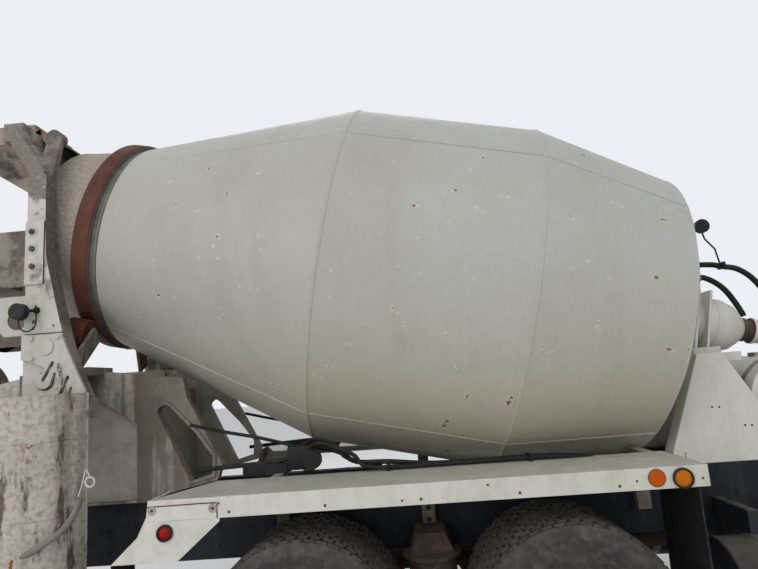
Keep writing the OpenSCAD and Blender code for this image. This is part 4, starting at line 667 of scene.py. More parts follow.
def addTyre(shape, centre, side, look):
    # side: +1 or -1, the way the outer sidewall looks
    out = sideWay * side
    r, w, bead = look["radius"], look["width"], look["bead"]
    half = [(bead + rise, share) for rise, share in sidewall["low"]]
    half += [((bead + r) / 2 + 0.01, sidewall["widest"])]
    half += [(r - drop, share) for drop, share in sidewall["high"]]
    profile = [(radius, share * w) for radius, share in half]
    profile += [(radius, -share * w) for radius, share in reversed(half)]
    spinShape(shape, profile, centre, out, upWay, 72)
    pitch = math.tau / look["pitches"]
    for share, wide, shift in tread["rows"]:
        verts = bmesh.ops.create_cube(shape, size=1)["verts"]
        size = (pitch * r * tread["length"], wide * w * 0.5, tread["depth"])
        bmesh.ops.scale(shape, vec=size, verts=verts)
        for vert in verts:
            vert.co.z += r - tread["sink"]
            if abs(share) > 0.6 and vert.co.y * share > 0:  # the shoulder blocks slope down outwards
                vert.co.z -= tread["shoulderDrop"]
                vert.co.y *= tread["shoulderReach"]
            vert.co.x += vert.co.y * tread["skew"][shift]
        rims = {edge for vert in verts for edge in vert.link_edges}
        edges = [edge for edge in rims if all(v.co.z > r - 0.016 for v in edge.verts)]
        made = bmesh.ops.bevel(shape, geom=edges, offset=tread["edge"], offset_type="OFFSET",
                               affect="EDGES", segments=1, profile=0.5, material=-1)
        block = list({v for f in made["faces"] for v in f.verts} | {v for v in verts if v.is_valid})
        faces = list({f for v in block for f in v.link_faces})
        place = Matrix.Translation(centre + out * (share * w * 0.5 * tread["inset"]))
        bmesh.ops.transform(shape, matrix=place @ Matrix.Rotation(shift * pitch / 2, 4, "Y"), verts=block)
        bmesh.ops.spin(shape, geom=faces, cent=centre, axis=(0, 1, 0), dvec=(0, 0, 0),
                       angle=math.tau - pitch, steps=look["pitches"] - 1, use_duplicate=True)


def tyrePiece(node, body, centres, side, look):
    shape = bmesh.new()
    for centre in centres:
        addTyre(shape, centre, side, look)
    makePiece(outward(shape), node + "Treaded", "tyreRubber", body, node, angle=36)


# rim: half its width; disc: its place and dish; studs: place, count, circle, radius and height
dualLook = {
    "ways": (1, -1), "spread": rearTyre["spread"], "rim": 0.112, "disc": (-0.153, -0.1),
    "hub": [(0.0505, -0.11), (0.118, -0.11), (0.118, 0.022), (0.14, 0.026), (0.14, 0.04), (0.112, 0.05),
            (0.104, 0.085), (0.102, 0.185), (0.112, 0.19), (0.112, 0.203), (0.092, 0.208), (0.088, 0.214),
            (0.0, 0.214), (0.0, 0.161), (0.0505, 0.161)],
    "studs": [(0.028, 10, 0.1675, 0.016, 0.045), (0.201, 8, 0.1, 0.009, 0.014)],
}
frontLook = {
    "ways": (1,), "spread": 0, "rim": 0.154, "disc": (0.106, 0.075),
    "hub": [(0.0505, -0.055), (0.11, -0.055), (0.11, 0.04), (0.19, 0.086), (0.19, 0.096), (0.104, 0.104),
            (0.098, 0.112), (0.092, 0.14), (0.084, 0.149), (0.0, 0.149), (0.0, 0.1), (0.0505, 0.1)],
    "studs": [(0.106, 10, 0.1675, 0.016, 0.034)],
}
discLook = {"steps": 60, "sheet": 0.01, "holesWithin": (0.2, 0.236), "holePitch": 6, "holeSteps": 2}


def addRim(shape, centre, out, half):
    # the barrel of a steel rim
    barrel = [(0.272, -half + 0.004), (0.2855, -half + 0.001), (0.2858, -half + 0.03),
              (0.272, -half + 0.05), (0.262, -0.04), (0.262, 0.04), (0.272, half - 0.05),
              (0.2858, half - 0.03), (0.2855, half - 0.001), (0.272, half - 0.004), (0.262, half - 0.05),
              (0.25, 0.04), (0.25, -0.04), (0.262, -half + 0.05)]
    spinShape(shape, barrel, centre, out, upWay, 72)


def wheelDisc(shape, centre, out, offset, dish):
    # a dished disc whose hand holes are faces left out
    steps, (inner, outer) = discLook["steps"], discLook["holesWithin"]
    profile = [(0.105, offset), (0.15, offset), (0.185, offset), (0.198, offset - dish * 0.25),
               (0.218, offset - dish * 0.7), (0.24, offset - dish * 0.95), (0.252, offset - dish)]
    before = set(shape.faces)
    spinShape(shape, profile, centre, out, upWay, steps, closed=False)
    fresh = [f for f in shape.faces if f not in before]
    holes = []
    for face in fresh:
        flat = awayFrom(out, face.calc_center_median() - centre)
        step = int(((math.atan2(flat.x, flat.z) % math.tau) / math.tau) * steps)
        if inner < flat.length < outer and step % discLook["holePitch"] < discLook["holeSteps"]:
            holes.append(face)
    bmesh.ops.delete(shape, geom=holes, context="FACES")
    fresh = [f for f in fresh if f.is_valid]
    bmesh.ops.recalc_face_normals(shape, faces=fresh)
    bmesh.ops.solidify(shape, geom=fresh, thickness=discLook["sheet"])


def addStuds(shape, centre, out, offset, count, circle, radius, height):
    for i in range(count):
        angle = math.tau * (i + 0.5) / count
        place = centre + Vector((math.sin(angle), 0, math.cos(angle))) * circle + out * offset
        addBolt(shape, place, out, radius, height * 0.55)
        addRound(shape, place, out, radius * 0.45, height, 8)


def wheelPiece(node, body, middle, side, look):
    shape, out = bmesh.new(), sideWay * side
    for way in look["ways"]:
        centre = middle + out * way * look["spread"]
        addRim(shape, centre, out * way, look["rim"])
        wheelDisc(shape, centre, out * way, *look["disc"])
    spinShape(shape, look["hub"], middle, out, upWay, 48, closed=False)
    for studs in look["studs"]:
        addStuds(shape, middle, out, *studs)
    makePiece(outward(shape), node + "Detailed", "wheelPaint", body, node)


for side, sideName in ((1, "left"), (-1, "right")):
    middle = Vector((axles["front"], side * axles["frontTrack"], frontTyre["radius"]))
    body = "front_wheel_" + sideName
    tyrePiece("front_tyre_" + sideName, body, [middle], side, frontTyre)
    wheelPiece("front_wheel_" + sideName, body, middle, side, frontLook)
    for place, x in axles["tandem"].items():
        middle = Vector((x, side * axles["tandemTrack"], rearTyre["radius"]))
        centres = [Vector((x, side * (axles["tandemTrack"] + way * rearTyre["spread"]), rearTyre["radius"]))
                   for way in (1, -1)]
        body = "duals_" + place + "_" + sideName
        tyrePiece("tyres_" + place + "_" + sideName, body, centres, side, rearTyre)
        wheelPiece("wheels_" + place + "_" + sideName, body, middle, side, dualLook)
print("wheels made")


def pedestalFinish(place, normal):
    # the plates between the pedestal's sides
    return abs(place.y) < 0.4505 and place.z < 2.0


def postFinish(place, normal):
    # the posts' inner faces, caked, and their front faces, caked and also darker as painted shade of the
    # front face that sits in shadow
    return abs(place.y) < 0.735 or (normal.x > 0.4 and abs(normal.y) < 0.3)


def fenderFinish(place, normal):
    # the fenders' inside
    return abs(place.y) < 1.205 and place.z < 1.265


def motorFinish(place, normal):
    # the motor's painted end
    return (place - drum["start"]).dot(drumAxis) > 2.935


def frontFinish(place, normal):
    # the four headlamps' lenses
    away = min(math.hypot(abs(place.y) - y, place.z - 0.94) for y in (0.82, 0.98))
    return place.x > 4.93 and away < 0.069


dressed = {  # finish: its nodes, each with the width of its rounded edges
    "frameDark": {"frame_rails": 0.003, "subframe": 0.003, "front_axle": 0.005, "front_springs": 0.003,
                  "fuel_tanks": 0.012, "step_boxes": 0.004, "chute_bracket": 0.005, "lift_barrel": 0.004},
    "casting": {"tandem_axles": 0.006, "walking_beams": 0.008, "suspension_posts": 0.008,
                "engine_block": 0.01, "drive_motor": 0.006, "knuckle_left": 0.005, "knuckle_right": 0.005},
    "cleanPaint": {"cab_shell": 0.008, "hood": 0.008, "door_left": 0.005, "door_right": 0.005,
                   "front_pedestal": 0.003, "gearbox": 0.005, "water_tank": 0.008},
    "whitePaint": {"front_bumper": 0.006, "rear_fenders": 0.002}, "rust": {"drum_rollers": 0.006},
    "steel": {"exhaust_stack": 0.004, "grille_headlamps": 0.003, "lift_rod": 0.003},
    "blackRubber": {"mud_flaps": 0.003, "work_lamps": 0.003}, "darkPlastic": {"dashboard": 0.006},
    "postPaint": {"rear_posts": 0.005, "hook_plates": 0.003}, "seatCloth": {"seats": 0.03},
    "shellPaint": {"rear_pedestal": 0.003, "chute_turntable": 0.004},
    "hopperCrust": {"charge_hopper": 0.003},
    "chutePaint": {"extension_chutes": 0.002, "main_chute": 0.002, "fold_chute": 0.002},
    "crust": {"discharge_collector": 0.003},
}
secondFinish = {  # node: its other finish and the choice of the faces that have it
    "rear_fenders": ("shellPaint", fenderFinish), "drive_motor": ("cleanPaint", motorFinish),
    "rear_pedestal": ("panelPaint", pedestalFinish), "rear_posts": ("crust", postFinish),
    "grille_headlamps": ("clearLens", frontFinish),
}


def softened(node, material, width):
    # a copy of a CAD node with its edges rounded
    shape = bmesh.new()
    shape.from_mesh(nodes[node].data)
    bmesh.ops.remove_doubles(shape, verts=shape.verts, dist=0.00005)
    bmesh.ops.dissolve_limit(shape, angle_limit=math.radians(1), verts=shape.verts, edges=shape.edges)
    other, picks = secondFinish.get(node, (None, None))
    for face in shape.faces:
        face.material_index = int(picks(face.calc_center_median(), face.normal)) if picks else 0
    piece = makePiece(shape, node + "Dressed", material, body_of(nodes[node])[0], node,
                      extra=(other,) if other else ())
    edge = piece.modifiers.new("edges", "BEVEL")
    edge.width = width
    edge.segments = 2
    edge.limit_method = "ANGLE"
    edge.angle_limit = math.radians(30)
    edge.use_clamp_overlap = True


for material, widths in dressed.items():
    for node, width in widths.items():
        softened(node, material, width)
for node in ("cab_glass", "door_glass_left", "door_glass_right"):
    nodes[node].data.materials.clear()
    nodes[node].data.materials.append(finishes["glass"])
print("nodes dressed:", sum(len(widths) for widths in dressed.values()))


# from here on, trim that both sides have is made on the near side and then mirrored
rearBolts = {
    "large": (-0.864, ((-3.519, 2.867), (-3.516, 2.757), (-3.512, 2.643))),  # y, then x and z of each
    "plain": (  # y, radius and head of each group, then x and z of each bolt
        (-0.85, 0.012, 0.009, ((-3.512, 3.076), (-3.51, 2.996), (-3.548, 2.59))),
        (-0.872, 0.014, 0.011, ((-3.499, 2.195), (-3.337, 2.194), (-3.496, 2.074)))),
    # dark discs on the post's face, x, z and radius of each: the first five are painted shade behind the
    # hook plate's three lobes and two slots, where the gaps fall dark; the last three are small dark marks
    "shadeDiscsAndStains": ((-3.425, 1.937, 0.058), (-3.322, 1.838, 0.058), (-3.22, 1.75, 0.054), (-3.369, 2.04, 0.026),
               (-3.273, 1.948, 0.026), (-3.38, 2.27, 0.007), (-3.505, 2.3, 0.012), (-3.508, 2.26, 0.01)),
    # a dark line along the hook plate's top edge, painted shade of the gap between the plate and the post
    "plateEdgeShade": [(-3.563, -0.851, 2.225), (-3.3, -0.851, 2.225)],
}


def postBolts():
    washers, nuts, shadeDiscsAndStains = bmesh.new(), bmesh.new(), bmesh.new()
    y, places = rearBolts["large"]
    for x, z in places:
        place = Vector((x, y, z))
        addRound(washers, place, near, 0.031, 0.004, 24)
        addRound(nuts, place + near * 0.004, near, 0.02, 0.013, 6, 0.0185)
        addRound(nuts, place + near * 0.017, near, 0.011, 0.01, 10, 0.009)
    for y, radius, head, places in rearBolts["plain"]:
        for x, z in places:
            addBolt(washers, (x, y, z), near, radius, head)
    # a dark line and dark discs on the post's face: painted shade along the hook plate's edge and behind its
    # lobes and slots, and a few small dark marks
    addTube(shadeDiscsAndStains, rearBolts["plateEdgeShade"], 0.0035, 6)
    for x, z, radius in rearBolts["shadeDiscsAndStains"]:
        addRound(shadeDiscsAndStains, (x, -0.85, z), near, radius, 0.0012, 20)
    makePiece(mirrored(washers), "postWashers", "postPaint")
    makePiece(mirrored(nuts), "postNuts", "oldBolt")
    makePiece(mirrored(shadeDiscsAndStains), "postShadeAndStains", "oldBolt")


chainLook = {"top": (-3.325, -0.884, 2.02), "links": 9, "length": 0.03, "width": 0.016, "wire": 0.0028,
             "step": Vector((0.006, 0, -0.022))}


def hangingChain():
    shape = bmesh.new()
    for i in range(chainLook["links"]):
        middle = Vector(chainLook["top"]) + chainLook["step"] * i
        across = (ahead if i % 2 else sideWay) * chainLook["width"] / 2
        upwards = upWay * chainLook["length"] / 2
        addTube(shape, loopPoints(middle, across, upwards, 12), chainLook["wire"], 6)
    makePiece(mirrored(shape), "hookChains", "steel")


fenderLook = {
    "face": -1.218, "plate": ((-2.628, 1.172), (-2.268, 1.246)), "bolts": ((-2.604, 1.225), (-2.289, 1.22)),
    "laps": (-1.2, -0.235),  # between the lengths of the fender
    "rivets": (-2.207, -1.718, -1.236, -0.747, -0.261), "rivetZ": 1.197,
    "marks": ((-0.175, 1.216), (0.141, 1.21), (-0.9, 1.245), (-1.33, 1.196)),
}


def fenderTrim():
    plates, rust, washers = bmesh.new(), bmesh.new(), bmesh.new()
    y, ((x0, z0), (x1, z1)) = fenderLook["face"], fenderLook["plate"]
    addBox(plates, (x0, y - 0.003, z0), (x1, y + 0.001, z1), 0.001)
    for x in fenderLook["laps"]:
        addBox(plates, (x, y - 0.0015, z0), (x + 0.004, y + 0.001, 1.272))
    edge = [(x0, y - 0.003, z1 - 0.002), (x1 - 0.014, y - 0.0035, z1), (x1 - 0.002, y - 0.0035, z1 - 0.014),
            (x1, y - 0.003, z0)]
    addTube(rust, edge, 0.0028, 6, 3)
    for x, z in fenderLook["bolts"]:
        addRound(rust, (x, y - 0.003, z), near, 0.008, 0.008, 10, 0.006)
        addRound(washers, (x, y - 0.003, z), near, 0.022, 0.003, 24)
    for x in fenderLook["rivets"]:
        addRound(rust, (x, y, fenderLook["rivetZ"]), near, 0.0075, 0.003, 12, 0.005)
    for x, z in fenderLook["marks"]:
        addRound(rust, (x, y, z), near, 0.006, 0.003, 12, 0.004)
    makePiece(mirrored(plates), "fenderPlates", "whitePaint")
    makePiece(mirrored(rust), "fenderRust", "rust")
    makePiece(mirrored(washers), "fenderWashers", "steel")


lampLook = {  # the side lamps, then the tail lamps: place, radius, way it looks
    "orange": [((-0.078, -1.218, 1.224), 0.0405, (0, -1, 0))],
    "amber": [((0.046, -1.22, 1.216), 0.041, (0, -1, 0))],
    "red": [((-2.538, -1.22, 1.115), 0.033, (0, -1, 0)), ((-3.753, -0.24, 0.895), 0.043, (-1, 0, 0)),
            ((-3.753, -0.37, 0.895), 0.043, (-1, 0, 0))],
}


def addDomedLamp(lens, housing, place, radius, way):
    dome = [(0, 0.013), (radius * 0.5, 0.012), (radius * 0.85, 0.009), (radius, 0.004), (radius, 0), (0, 0)]
    rim = [(radius, 0), (radius, 0.01), (radius + 0.003, 0.0135), (radius + 0.008, 0.0125),
           (radius + 0.009, -0.002), (radius, -0.002)]
    start = way.orthogonal().normalized()
    spinShape(lens, dome, place, way, start, 32, closed=False)
    spinShape(housing, rim, place, way, start, 32)
    if way.x:  # a tail lamp stands on a can
        addRound(housing, place + ahead * 0.031, -ahead, radius, 0.034, 32)


def sideLamps():
    lens, housing = bmesh.new(), bmesh.new()
    for index, (colour, places) in enumerate(lampLook.items()):
        for place, radius, way in places:
            place, way = Vector(place), Vector(way)
            before = set(lens.faces)
            if colour == "orange":  # a flat reflector
                addRound(lens, place, way, radius, 0.005, 32, radius * 0.96)
                addRound(housing, place, way, radius * 1.06, 0.002, 32)
            else:
                addDomedLamp(lens, housing, place, radius, way)
            for face in lens.faces:
                if face not in before:
                    face.material_index = index
    makePiece(mirrored(lens), "lampLenses", "orange", node="lamps", extra=("amber", "red"))
    makePiece(mirrored(housing), "lampHousings", "darkPlastic")


hoseRuns = {  # hoses and stays over the fender's inner edge: points, radius
    "upper": ([(-2.642, -0.6, 1.606), (-2.421, -0.6, 1.548), (-2.201, -0.6, 1.497), (-1.954, -0.61, 1.426)],
              0.011),
    "lower": ([(-2.62, -0.62, 1.33), (-2.3, -0.64, 1.345), (-2.05, -0.64, 1.36), (-1.93, -0.63, 1.4)],
              0.014),
    "first": ([(-1.93, -0.62, 1.44), (-1.72, -0.64, 1.39), (-1.6, -0.7, 1.33), (-1.4, -0.72, 1.32),
               (-1.1, -0.7, 1.29), (-0.4, -0.7, 1.285), (0.1, -0.66, 1.2)], 0.015),
    "second": ([(-1.9, -0.66, 1.42), (-1.8, -0.72, 1.45), (-1.62, -0.74, 1.38), (-1.5, -0.76, 1.3),
                (-1.0, -0.74, 1.29), (-0.4, -0.74, 1.285), (0.1, -0.7, 1.2)], 0.013),
    "third": ([(-2.0, -0.6, 1.4), (-1.86, -0.66, 1.47), (-1.72, -0.7, 1.44), (-1.66, -0.72, 1.36),
               (-1.45, -0.7, 1.3)], 0.01),
}
looseLook = {
    "hose": [(-3.014, -1.16, 1.301), (-3.045, -1.16, 1.229), (-3.096, -1.16, 1.159), (-3.18, -1.16, 1.1),
             (-3.279, -1.16, 1.048), (-3.399, -1.15, 1.002), (-3.53, -1.1, 0.97)], "hoseRadius": 0.017,
    "ring": Vector((-3.055, -1.0, 1.358)), "ringRadius": 0.026, "ringWire": 0.006,
    "tail": [(-3.055, -1.0, 1.384), (-3.079, -1.0, 1.424), (-3.1, -1.0, 1.345), (-3.122, -1.0, 1.278),
             (-3.138, -1.0, 1.215)], "tailWire": 0.004,
}


def fenderHoses():
    shape = bmesh.new()
    for points, radius in hoseRuns.values():
        addTube(shape, points, radius, 10, 6)
    addBox(shape, (-2.02, -0.68, 1.3), (-1.86, -0.58, 1.44), 0.012, 2)  # the valve, its cap and its foot
    addRound(shape, (-1.86, -0.69, 1.36), near, 0.055, 0.05, 24)
    addBox(shape, (-2.3, -0.66, 1.285), (-2.02, -0.6, 1.345), 0.006)
    for x in (-1.42, -0.6):  # clips on the fender's inner edge
        addBox(shape, (x, -0.78, 1.262), (x + 0.02, -0.67, 1.312), 0.004)
    makePiece(mirrored(shape), "fenderHoses", "blackRubber")


def looseHose():
    # the grey hose and the ring handle that hang on the extension chute
    shape = bmesh.new()
    addTube(shape, looseLook["hose"], looseLook["hoseRadius"], 12, 5)
    makePiece(outward(shape), "greyHose", "greyHose")
    shape, reach = bmesh.new(), looseLook["ringRadius"]
    ring = loopPoints(looseLook["ring"], ahead * reach, upWay * reach, 20)
    addTube(shape, ring, looseLook["ringWire"], 8)
    addTube(shape, looseLook["tail"], looseLook["tailWire"], 6, 4)
    makePiece(outward(shape), "ringHandle", "whitePaint")


postBolts()
hangingChain()
fenderTrim()
sideLamps()
fenderHoses()
looseHose()
print("rear trim made")


def frontPedestalTrim():
    # screw holes and a slot in the side plate
    shape = bmesh.new()
    for x, z in ((0.63, 1.476), (0.673, 1.473), (0.811, 1.353), (0.853, 1.35)):
        addRound(shape, (x, -0.43, z), near, 0.0065, 0.0012, 14)
    addBox(shape, (0.42, -0.4315, 1.165), (0.424, -0.43, 1.215))
    makePiece(mirrored(shape), "pedestalHoles", "darkPlastic")


gearLook = {  # distances along the drum's axis, then radii
    "flangeNear": 2.465, "flangeFar": 2.56, "boltHalf": 0.175, "eye": (2.63, 0.2), "eyeHalf": (0.026, 0.03),
    "ribs": ((2.607, 0.1905), (2.66, 0.1895)), "drumFlange": (2.3495, 0.165, 12),
    "motor": 2.8553, "motorBands": ((0.093, 0.0825, 0.024), (0.15, 0.083, 0.01), (0.196, 0.083, 0.01)),
}


def gearboxTrim():
    bolts, eye, foot = bmesh.new(), bmesh.new(), bmesh.new()
    half = gearLook["boltHalf"]
    for distance, way in ((gearLook["flangeNear"], -drumAxis), (gearLook["flangeFar"], drumAxis)):
        for i in range(-1, 2):
            for k in range(-1, 2):
                if i or k:
                    corner = drum["start"] + drumAxis * distance + sideWay * i * half + drumUp * k * half
                    addBolt(bolts, corner, way, 0.013, 0.011)
    wide, tall = gearLook["eyeHalf"]
    top = along(*gearLook["eye"], math.pi / 2) + drumUp * tall * 0.4
    addTube(eye, loopPoints(top, drumAxis * wide, drumUp * tall, 16), 0.007, 8)
    for s, radius in gearLook["ribs"]:
        spinOnDrum(eye, [(radius - 0.004, s - 0.004), (radius, s - 0.003), (radius, s + 0.003),
                         (radius - 0.004, s + 0.004)], 64)
    addBox(foot, (0.64, -0.2305, 1.8095), (0.6695, 0.2305, 1.846), 0.006, 2)
    makePiece(outward(bolts), "gearboxBolts", "steel")
    makePiece(outward(eye), "gearboxEye", "cleanPaint")
    makePiece(outward(foot), "footRust", "rustRun")


def driveTrim():
    bolts, bands = bmesh.new(), bmesh.new()
    distance, circle, count = gearLook["drumFlange"]
    for i in range(count):
        addBolt(bolts, along(distance, circle, math.tau * i / count), -drumAxis, 0.011, 0.009)
    for offset, radius, length in gearLook["motorBands"]:
        low = gearLook["motor"] + offset
        spinOnDrum(bands, band(radius - 0.003, radius + 0.001, low, low + length), 48)
    makePiece(outward(bolts), "drumFlangeBolts", "steel", "drum")
    makePiece(outward(bands), "motorBands", "cleanPaint")


feedHose = {  # each step is a distance ahead of the feed hose's fitting and a distance below it
    "start": Vector((0.88, -0.006, 2.452)), "radius": 0.02,
    "pipeX": 0.853, "pipes": ((0, 0.244), (0.099, 0.28)),  # drop of each pipe's fitting, y of the pipe
    "feed": ((0, 0), (0.089, 0.006), (0.14, 0.012), (0.192, 0.028), (0.289, 0.05), (0.375, 0.112),
             (0.445, 0.212), (0.53, 0.392), (0.63, 0.602), (0.71, 0.852), (0.765, 1.132), (0.77, 1.462)),
    "drain": ((0, 0.099), (0.055, 0.1), (0.13, 0.143), (0.188, 0.202), (0.23, 0.272), (0.27, 0.357),
              (0.283, 0.398)),
}


def feedHoses():
    hoses, pipes = bmesh.new(), bmesh.new()
    start, radius = feedHose["start"], feedHose["radius"]
    feed, drain = ([start + Vector((x, 0, -drop)) for x, drop in feedHose[key]]
                   for key in ("feed", "drain"))
    addTube(hoses, feed, radius, 16, 5)
    addTube(hoses, drain, radius, 16, 5)
    signal = [feed[i] + Vector((-0.014, -0.038, -0.008 - 0.001 * i)) for i in range(2, 8)]
    addTube(hoses, signal, 0.009, 10, 5)
    addBox(hoses, (1.052, -0.066, 2.405), (1.076, 0.022, 2.452), 0.006, 2)  # the clip, then a rubber strip
    addBox(hoses, (1.61, -0.42, 1.0303), (1.69, 0.42, 1.042), 0.002)
    for drop, y in feedHose["pipes"]:
        x, z = feedHose["pipeX"], start.z - drop
        addTube(pipes, [(x, 0.0803, z), (x, y - 0.04, z), (x, y, z - 0.04), (x, y, 1.8103)], 0.011, 10)
        addRound(pipes, (0.876, start.y, z), ahead, 0.0235, 0.035, 16)
    makePiece(outward(hoses), "feedHoses", "blackRubber", node="hoses")
    makePiece(outward(pipes), "oilPipes", "oldBolt")


tankLook = {
    "water": Vector((1.21, 0, 1.4703)), "waterStraps": (-0.24, 0.24), "waterRadii": (0.299, 0.3035),
    "fuelY": 0.82, "fuelZ": 0.54, "fuelStraps": (0.55, 1.5), "fuelRadii": (0.279, 0.2835),
}


def tankTrim():
    shape = bmesh.new()
    for y in tankLook["waterStraps"]:
        hoop = band(*tankLook["waterRadii"], y - 0.025, y + 0.025)
        spinShape(shape, hoop, tankLook["water"], sideWay, upWay, 64)
    for x in tankLook["fuelStraps"]:
        for side in (1, -1):
            centre = Vector((0, side * tankLook["fuelY"], tankLook["fuelZ"]))
            spinShape(shape, band(*tankLook["fuelRadii"], x - 0.03, x + 0.03), centre, ahead, upWay, 64)
            addRound(shape, (0.83, side * 0.9, 0.79), (0, side * 0.3, 1), 0.052, 0.045, 24, 0.048)
    addRound(shape, (1.21, 0, 1.765), upWay, 0.06, 0.03, 24, 0.056)
    makePiece(outward(shape), "tankStraps", "steel")


frameLook = {
    "start": -3.62, "pitch": 0.36, "count": 24, "rows": (0.83, 0.965), "railY": -0.43,
    "axleGap": (3.3, 4.9),  # no bolts over the front axle
    "brackets": (-2.84, -1.196, -0.02), "bracketRows": (0.93, 1.0, 1.1), "bracketY": -0.4903,
}


def frameBolts():
    shape = bmesh.new()
    low, high = frameLook["axleGap"]
    for i in range(frameLook["count"]):
        x = frameLook["start"] + frameLook["pitch"] * i
        for z in frameLook["rows"] if not low < x < high else ():
            addBolt(shape, (x, frameLook["railY"], z), near, 0.011, 0.008)
    for x in frameLook["brackets"]:
        for z in frameLook["bracketRows"]:
            addBolt(shape, (x, frameLook["bracketY"], z), near, 0.01, 0.008)
    makePiece(mirrored(shape), "frameBolts", "frameDark")


frontPedestalTrim()
gearboxTrim()
driveTrim()
feedHoses()
tankTrim()
frameBolts()
print("middle trim made")


cabLook = {
    "markerX": 3.06, "markerY": (0, -0.15, -0.62), "markerZ": (2.878, 2.905),
    "wiper": (3.612, -0.42, 2.035), "wiperArm": 0.36, "blade": (0.16, 0.22),
    "glassDown": Vector((0.334, 0, -0.859)), "glassOut": Vector((0.932, 0, 0.362)),
    "handles": ((2.4, 1.28, 2.05), (3.5, 1.2, 1.8)), "wallY": -0.998, "gripY": -1.048,
    "mirrorX": 3.4085, "mirrorY": 1.235, "mirrorHalf": 0.072, "mirrorZ": (2.012, 2.368),
}


def cabTrim():
    markers, dark = bmesh.new(), bmesh.new()
    x, (low, high) = cabLook["markerX"], cabLook["markerZ"]
    for y in cabLook["markerY"]:
        addBox(markers, (x, y - 0.045, low), (x + 0.09, y + 0.045, high), 0.01, 2)
    down, out = cabLook["glassDown"].normalized(), cabLook["glassOut"]
    foot = Vector(cabLook["wiper"]) + out * 0.012
    tip = foot - down * cabLook["wiperArm"] + sideWay * -0.1
    above, below = cabLook["blade"]
    addTube(dark, [foot, tip], 0.007, 8)
    addTube(dark, [tip - down * above - sideWay * 0.03, tip + down * below + sideWay * 0.03], 0.006, 6)
    addRound(dark, foot - out * 0.012, out, 0.018, 0.02, 16)
    wall, grip = cabLook["wallY"], cabLook["gripY"]
    for x, low, high in cabLook["handles"]:
        rail = [(x, wall, low), (x, grip, low + 0.02), (x, grip, high - 0.02), (x, wall, high)]
        addTube(dark, rail, 0.012, 10)
    makePiece(mirrored(markers), "markerLamps", "amber")
    makePiece(mirrored(dark), "wipersAndHandles", "darkPlastic")


def doorMirrors():
    x, half, (low, high) = cabLook["mirrorX"], cabLook["mirrorHalf"], cabLook["mirrorZ"]
    for side, name in ((1, "left"), (-1, "right")):
        shape, y = bmesh.new(), side * cabLook["mirrorY"]
        addBox(shape, (x, y - half, low), (x + 0.004, y + half, high), 0.002)
        makePiece(outward(shape), "mirrorGlass_" + name, "mirrorGlass", "door_" + name)


hoodLook = {"vents": 7, "ventX": 3.78, "ventPitch": 0.055, "ventZ": (1.47, 1.72), "latchZ": (1.3, 1.36),
            "bars": 9, "barX": 4.944, "barY": -0.4, "barPitch": 0.1, "barZ": (1.0, 1.54)}


def hoodTrim():
    vents, bright = bmesh.new(), bmesh.new()
    low, high = hoodLook["ventZ"]
    for i in range(hoodLook["vents"]):
        x = hoodLook["ventX"] + hoodLook["ventPitch"] * i
        y = -0.88 + 0.28 * (x - 3.64) / 1.04  # the hood narrows forwards
        addBox(vents, (x, y - 0.003, low), (x + 0.022, y + 0.02, high), 0.002)
    for z in hoodLook["latchZ"]:
        addBox(bright, (3.655, -0.905, z), (3.7, -0.868, z + 0.022), 0.003)
    for i in range(hoodLook["bars"]):
        y = hoodLook["barY"] + hoodLook["barPitch"] * i
        addTube(bright, [(hoodLook["barX"], y, z) for z in hoodLook["barZ"]], 0.005, 6)
    makePiece(mirrored(vents), "hoodVents", "darkPlastic", "hood")
    makePiece(mirrored(bright), "hoodLatches", "steel", "hood")


stepLook = {  # each tread's row of bars: start, pitch, count, inner edge, top of the step
    "rows": ((1.95, 0.06, 21, -0.905, 0.4195), (1.9, 0.07, 19, -0.7, 1.0095)), "outerY": -1.175,
    "stack": Vector((2.09, -0.76, 0)), "stackBands": (1.46, 1.8, 2.15, 2.5),
}


def stepTrim():
    treads, bands = bmesh.new(), bmesh.new()
    for start, pitch, count, inner, z in stepLook["rows"]:
        for i in range(count):
            x = start + pitch * i
            addBox(treads, (x, stepLook["outerY"], z), (x + 0.02, inner, z + 0.0045))
    for z in stepLook["stackBands"]:
        spinShape(bands, band(0.119, 0.1235, z, z + 0.03), stepLook["stack"], upWay, ahead, 48)
    makePiece(mirrored(treads), "stepTreads", "steel")
    makePiece(outward(bands), "stackBands", "steel")


cabTrim()
doorMirrors()
hoodTrim()
stepTrim()
print("cab trim made")


hopperLook = {"half": 0.52, "rear": -4.352, "front": -3.76, "top": 3.77, "rim": 0.009,
              "stiffeners": (-4.2, -3.95)}


def hopperRim():
    half, rear, front, top, rim = (hopperLook[key] for key in ("half", "rear", "front", "top", "rim"))
    shape = bmesh.new()
    x, y, z = rear + 0.01, half - 0.01, top - rim
    addTube(shape, [(x, -y, z), (front, -y, z), (front, y, z), (x, y, z), (x, -y, z)], rim, 8)
    for x in hopperLook["stiffeners"]:
        for inner, outer in ((-half - 0.008, -half + 0.002), (half - 0.002, half + 0.008)):
            addBox(shape, (x, inner, top - 0.13), (x + 0.03, outer, top - 0.01), 0.002)
    makePiece(outward(shape), "hopperRim", "hopperCrust")


wireLook = {  # steps of the wire: x, share of the lamp's y, z; the bezel's profile
    "lampY": 0.935, "postY": 0.858, "radius": 0.0045, "lamp": (-3.545, 2.356),
    "steps": ((-3.545, 1, 2.308), (-3.535, 1, 2.26), (-3.5, 0.98, 2.235), (-3.47, 0.95, 2.27),
              (-3.478, 0.93, 2.34)), "end": (-3.49, 2.4),
    "bezel": [(0.05, 0.018), (0.0515, 0.022), (0.0515, 0.028), (0.046, 0.03), (0.046, 0.018)],
}


